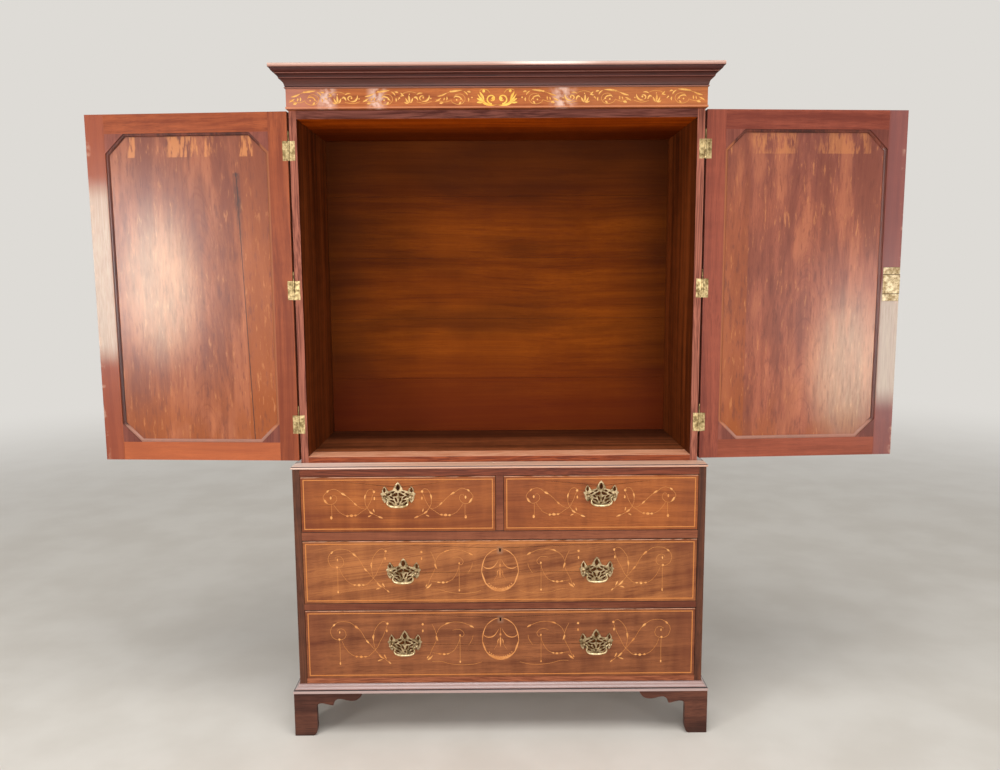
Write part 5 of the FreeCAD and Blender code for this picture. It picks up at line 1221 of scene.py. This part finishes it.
# Drawer locks and keyholes
# A brass lock case let into the back of each front, behind a plain slot for the key in the front of a long
# drawer. A channel in the case holds the bolt.
LOCK_HALF_WIDTH = 25.0
LOCK_HALF_HEIGHT = 22.0
LOCK_DEPTH = 11.0
LOCK_ROUND = 0.4
BOLT_PLAY = 0.3
BOLT_RISE = 2.0
lock_steps = [[CASE_FRONT + FRONT_THICKNESS - step] for step in (LOCK_DEPTH, LOCK_ROUND, 0.0)]
lock_loop = np.array([[1.0], [1.0], [0.98]])
lock_across = LOCK_HALF_WIDTH * np.array([-1, 1, 1, -1]) * lock_loop
lock_up = LOCK_HALF_HEIGHT * np.array([-1, -1, 1, 1]) * lock_loop
for name, drawer in DRAWERS.items():
    x = sum(drawer["span"]) / 2
    head = drawer["rise"][1]
    fittings = Shape()
    fittings.run(laid_out(x + lock_across, lock_steps, head - LOCK_HALF_HEIGHT + lock_up))
    lock_case = fittings.made(f"{name}_lock_case", name, handle_metal, slot="brass")
    low, high = np.array(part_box(f"{name}_lock_bolt")) / mm
    low -= BOLT_PLAY
    high += (BOLT_PLAY, BOLT_PLAY, BOLT_RISE)
    channel = laid_out([low[0], high[0], high[0], low[0]], [low[1], low[1], high[1], high[1]],
                       [[low[2]], [high[2]]])
    hollow_out(lock_case, channel)
    if name in LONG_DRAWERS:
        keyhole(name, x, head - KEYHOLE_DROP, 5.4, 2.5, 6, CASE_FRONT)

# Floor, light and camera
# A plain pale floor under a soft light from the left, a weaker one from the right, a broad one overhead and a
# fill from the front. The camera stands before the middle of the cupboard and looks a little down.
air_tone = tint(222, 219, 214)


def floor_finish():
    """Pale floor with a faint cloudiness, which goes over into the tone of the air far from the object."""
    finish = Finish("studio_floor")
    cloud = finish.noise(finish.place, 3.0, 4.0)
    finish.colour = cloud.rise(0.3, 0.7).mix(tint(222, 215, 204), tint(232, 226, 216))
    finish.rough = 0.6 + 0.2 * cloud
    finish.height = cloud
    floor_material = finish.done(0.0003, 0.1)
    away = finish.node("ShaderNodeVectorMath", {"operation": "LENGTH"}, {0: finish.place}, "Value")
    looked_at = finish.node("ShaderNodeLightPath", output="Is Camera Ray")
    glow = finish.node("ShaderNodeEmission", (), {"Color": air_tone})
    fade = finish.node("ShaderNodeMixShader", (), {0: looked_at * away.rise(2.4, 8.0),
                                                   1: Value(finish, finish.shader.outputs[0]), 2: glow})
    finish.tree.links.new(fade.socket, finish.tree.nodes["Material Output"].inputs["Surface"])
    return floor_material


floor_mesh = bpy.data.meshes.new("studio_floor")
floor_mesh.from_pydata([(-30, -30, 0), (30, -30, 0), (30, 30, 0), (-30, 30, 0)], [], [(0, 1, 2, 3)])
floor_mesh.materials.append(floor_finish())
floor = bpy.data.objects.new("studio_floor", floor_mesh)
bpy.context.scene.collection.objects.link(floor)

world = bpy.data.worlds.new("studio")
bpy.context.scene.world = world
world.use_nodes = True
air = Nodes(world.node_tree)
air.tree.nodes.remove(air.tree.nodes["Background"])
looked_at = air.node("ShaderNodeLightPath", output="Is Camera Ray")
mirrored = air.node("ShaderNodeLightPath", output="Is Glossy Ray")
through = air.node("ShaderNodeLightPath", output="Is Transmission Ray")
seen = looked_at.maths("MAXIMUM", looked_at, mirrored.maths("MAXIMUM", mirrored, through))
glow = air.node("ShaderNodeBackground", (), {"Color": (1.0, 1.0, 1.0, 1.0), "Strength": 0.36})
pale = air.node("ShaderNodeBackground", (), {"Color": air_tone, "Strength": 1.0})
sky = air.node("ShaderNodeMixShader", (), {0: seen, 1: glow, 2: pale})
air.tree.links.new(sky.socket, air.tree.nodes["World Output"].inputs["Surface"])


def stood(place, right, upward, backward):
    """Matrix that puts a lamp or a camera at a place, from the directions of its right, head and back."""
    stand = np.eye(4)
    stand[:3, :3] = np.column_stack([right, upward, backward])
    stand[:3, 3] = place
    return Matrix(stand.tolist())


def soft_light(name, place, target, size, power):
    """Broad soft light at a place, turned to face a target."""
    lamp = bpy.data.lights.new(name, "AREA")
    lamp.shape = "RECTANGLE"
    lamp.size, lamp.size_y = size
    lamp.energy = power
    light = bpy.data.objects.new(name, lamp)
    bpy.context.scene.collection.objects.link(light)
    backward = np.subtract(place, target)
    backward /= np.linalg.norm(backward)
    right = np.cross((0.0, 0.0, 1.0), backward)
    right /= np.linalg.norm(right)
    light.matrix_world = stood(place, right, np.cross(backward, right), backward)
    light.visible_camera = False


soft_light("left_window", (-2.59, -2.8, 1.445), (-1.085, -0.165, 1.436), (0.62, 1.0), 30.0)
soft_light("right_window", (2.8, -2.9, 1.0), (1.148, -0.16, 1.227), (0.55, 0.9), 15.0)
soft_light("overhead", (0.0, -1.8, 4.8), (0.0, -0.2, 0.9), (3.6, 2.4), 125.0)
soft_light("front_fill", (0.0, -6.2, 1.3), (0.0, 0.0, 1.0), (3.6, 1.8), 128.0)

CAMERA_PLACE = (-0.0059, -2.7367, 1.4280)
CAMERA_PITCH = math.radians(7.50)
CAMERA_YAW = math.radians(-0.21)
CAMERA_ROLL = math.radians(-0.36)
FOCAL_PIXELS = 850
PICTURE_WIDTH = 1000
level_right = np.array([math.cos(CAMERA_YAW), math.sin(CAMERA_YAW), 0.0])
level_ahead = np.array([-math.sin(CAMERA_YAW), math.cos(CAMERA_YAW), 0.0])
zenith = np.array([0.0, 0.0, 1.0])
ahead = math.cos(CAMERA_PITCH) * level_ahead - math.sin(CAMERA_PITCH) * zenith
overhead = math.sin(CAMERA_PITCH) * level_ahead + math.cos(CAMERA_PITCH) * zenith
right_axis = math.cos(CAMERA_ROLL) * level_right + math.sin(CAMERA_ROLL) * overhead
up_axis = -math.sin(CAMERA_ROLL) * level_right + math.cos(CAMERA_ROLL) * overhead
camera_data = bpy.data.cameras.new("camera")
camera_data.sensor_width = 36.0
camera_data.lens = camera_data.sensor_width * FOCAL_PIXELS / PICTURE_WIDTH
camera = bpy.data.objects.new("camera", camera_data)
camera.matrix_world = stood(CAMERA_PLACE, right_axis, up_axis, -ahead)
bpy.context.scene.collection.objects.link(camera)
bpy.context.scene.camera = camera
bpy.context.scene.view_settings.view_transform = "Standard"
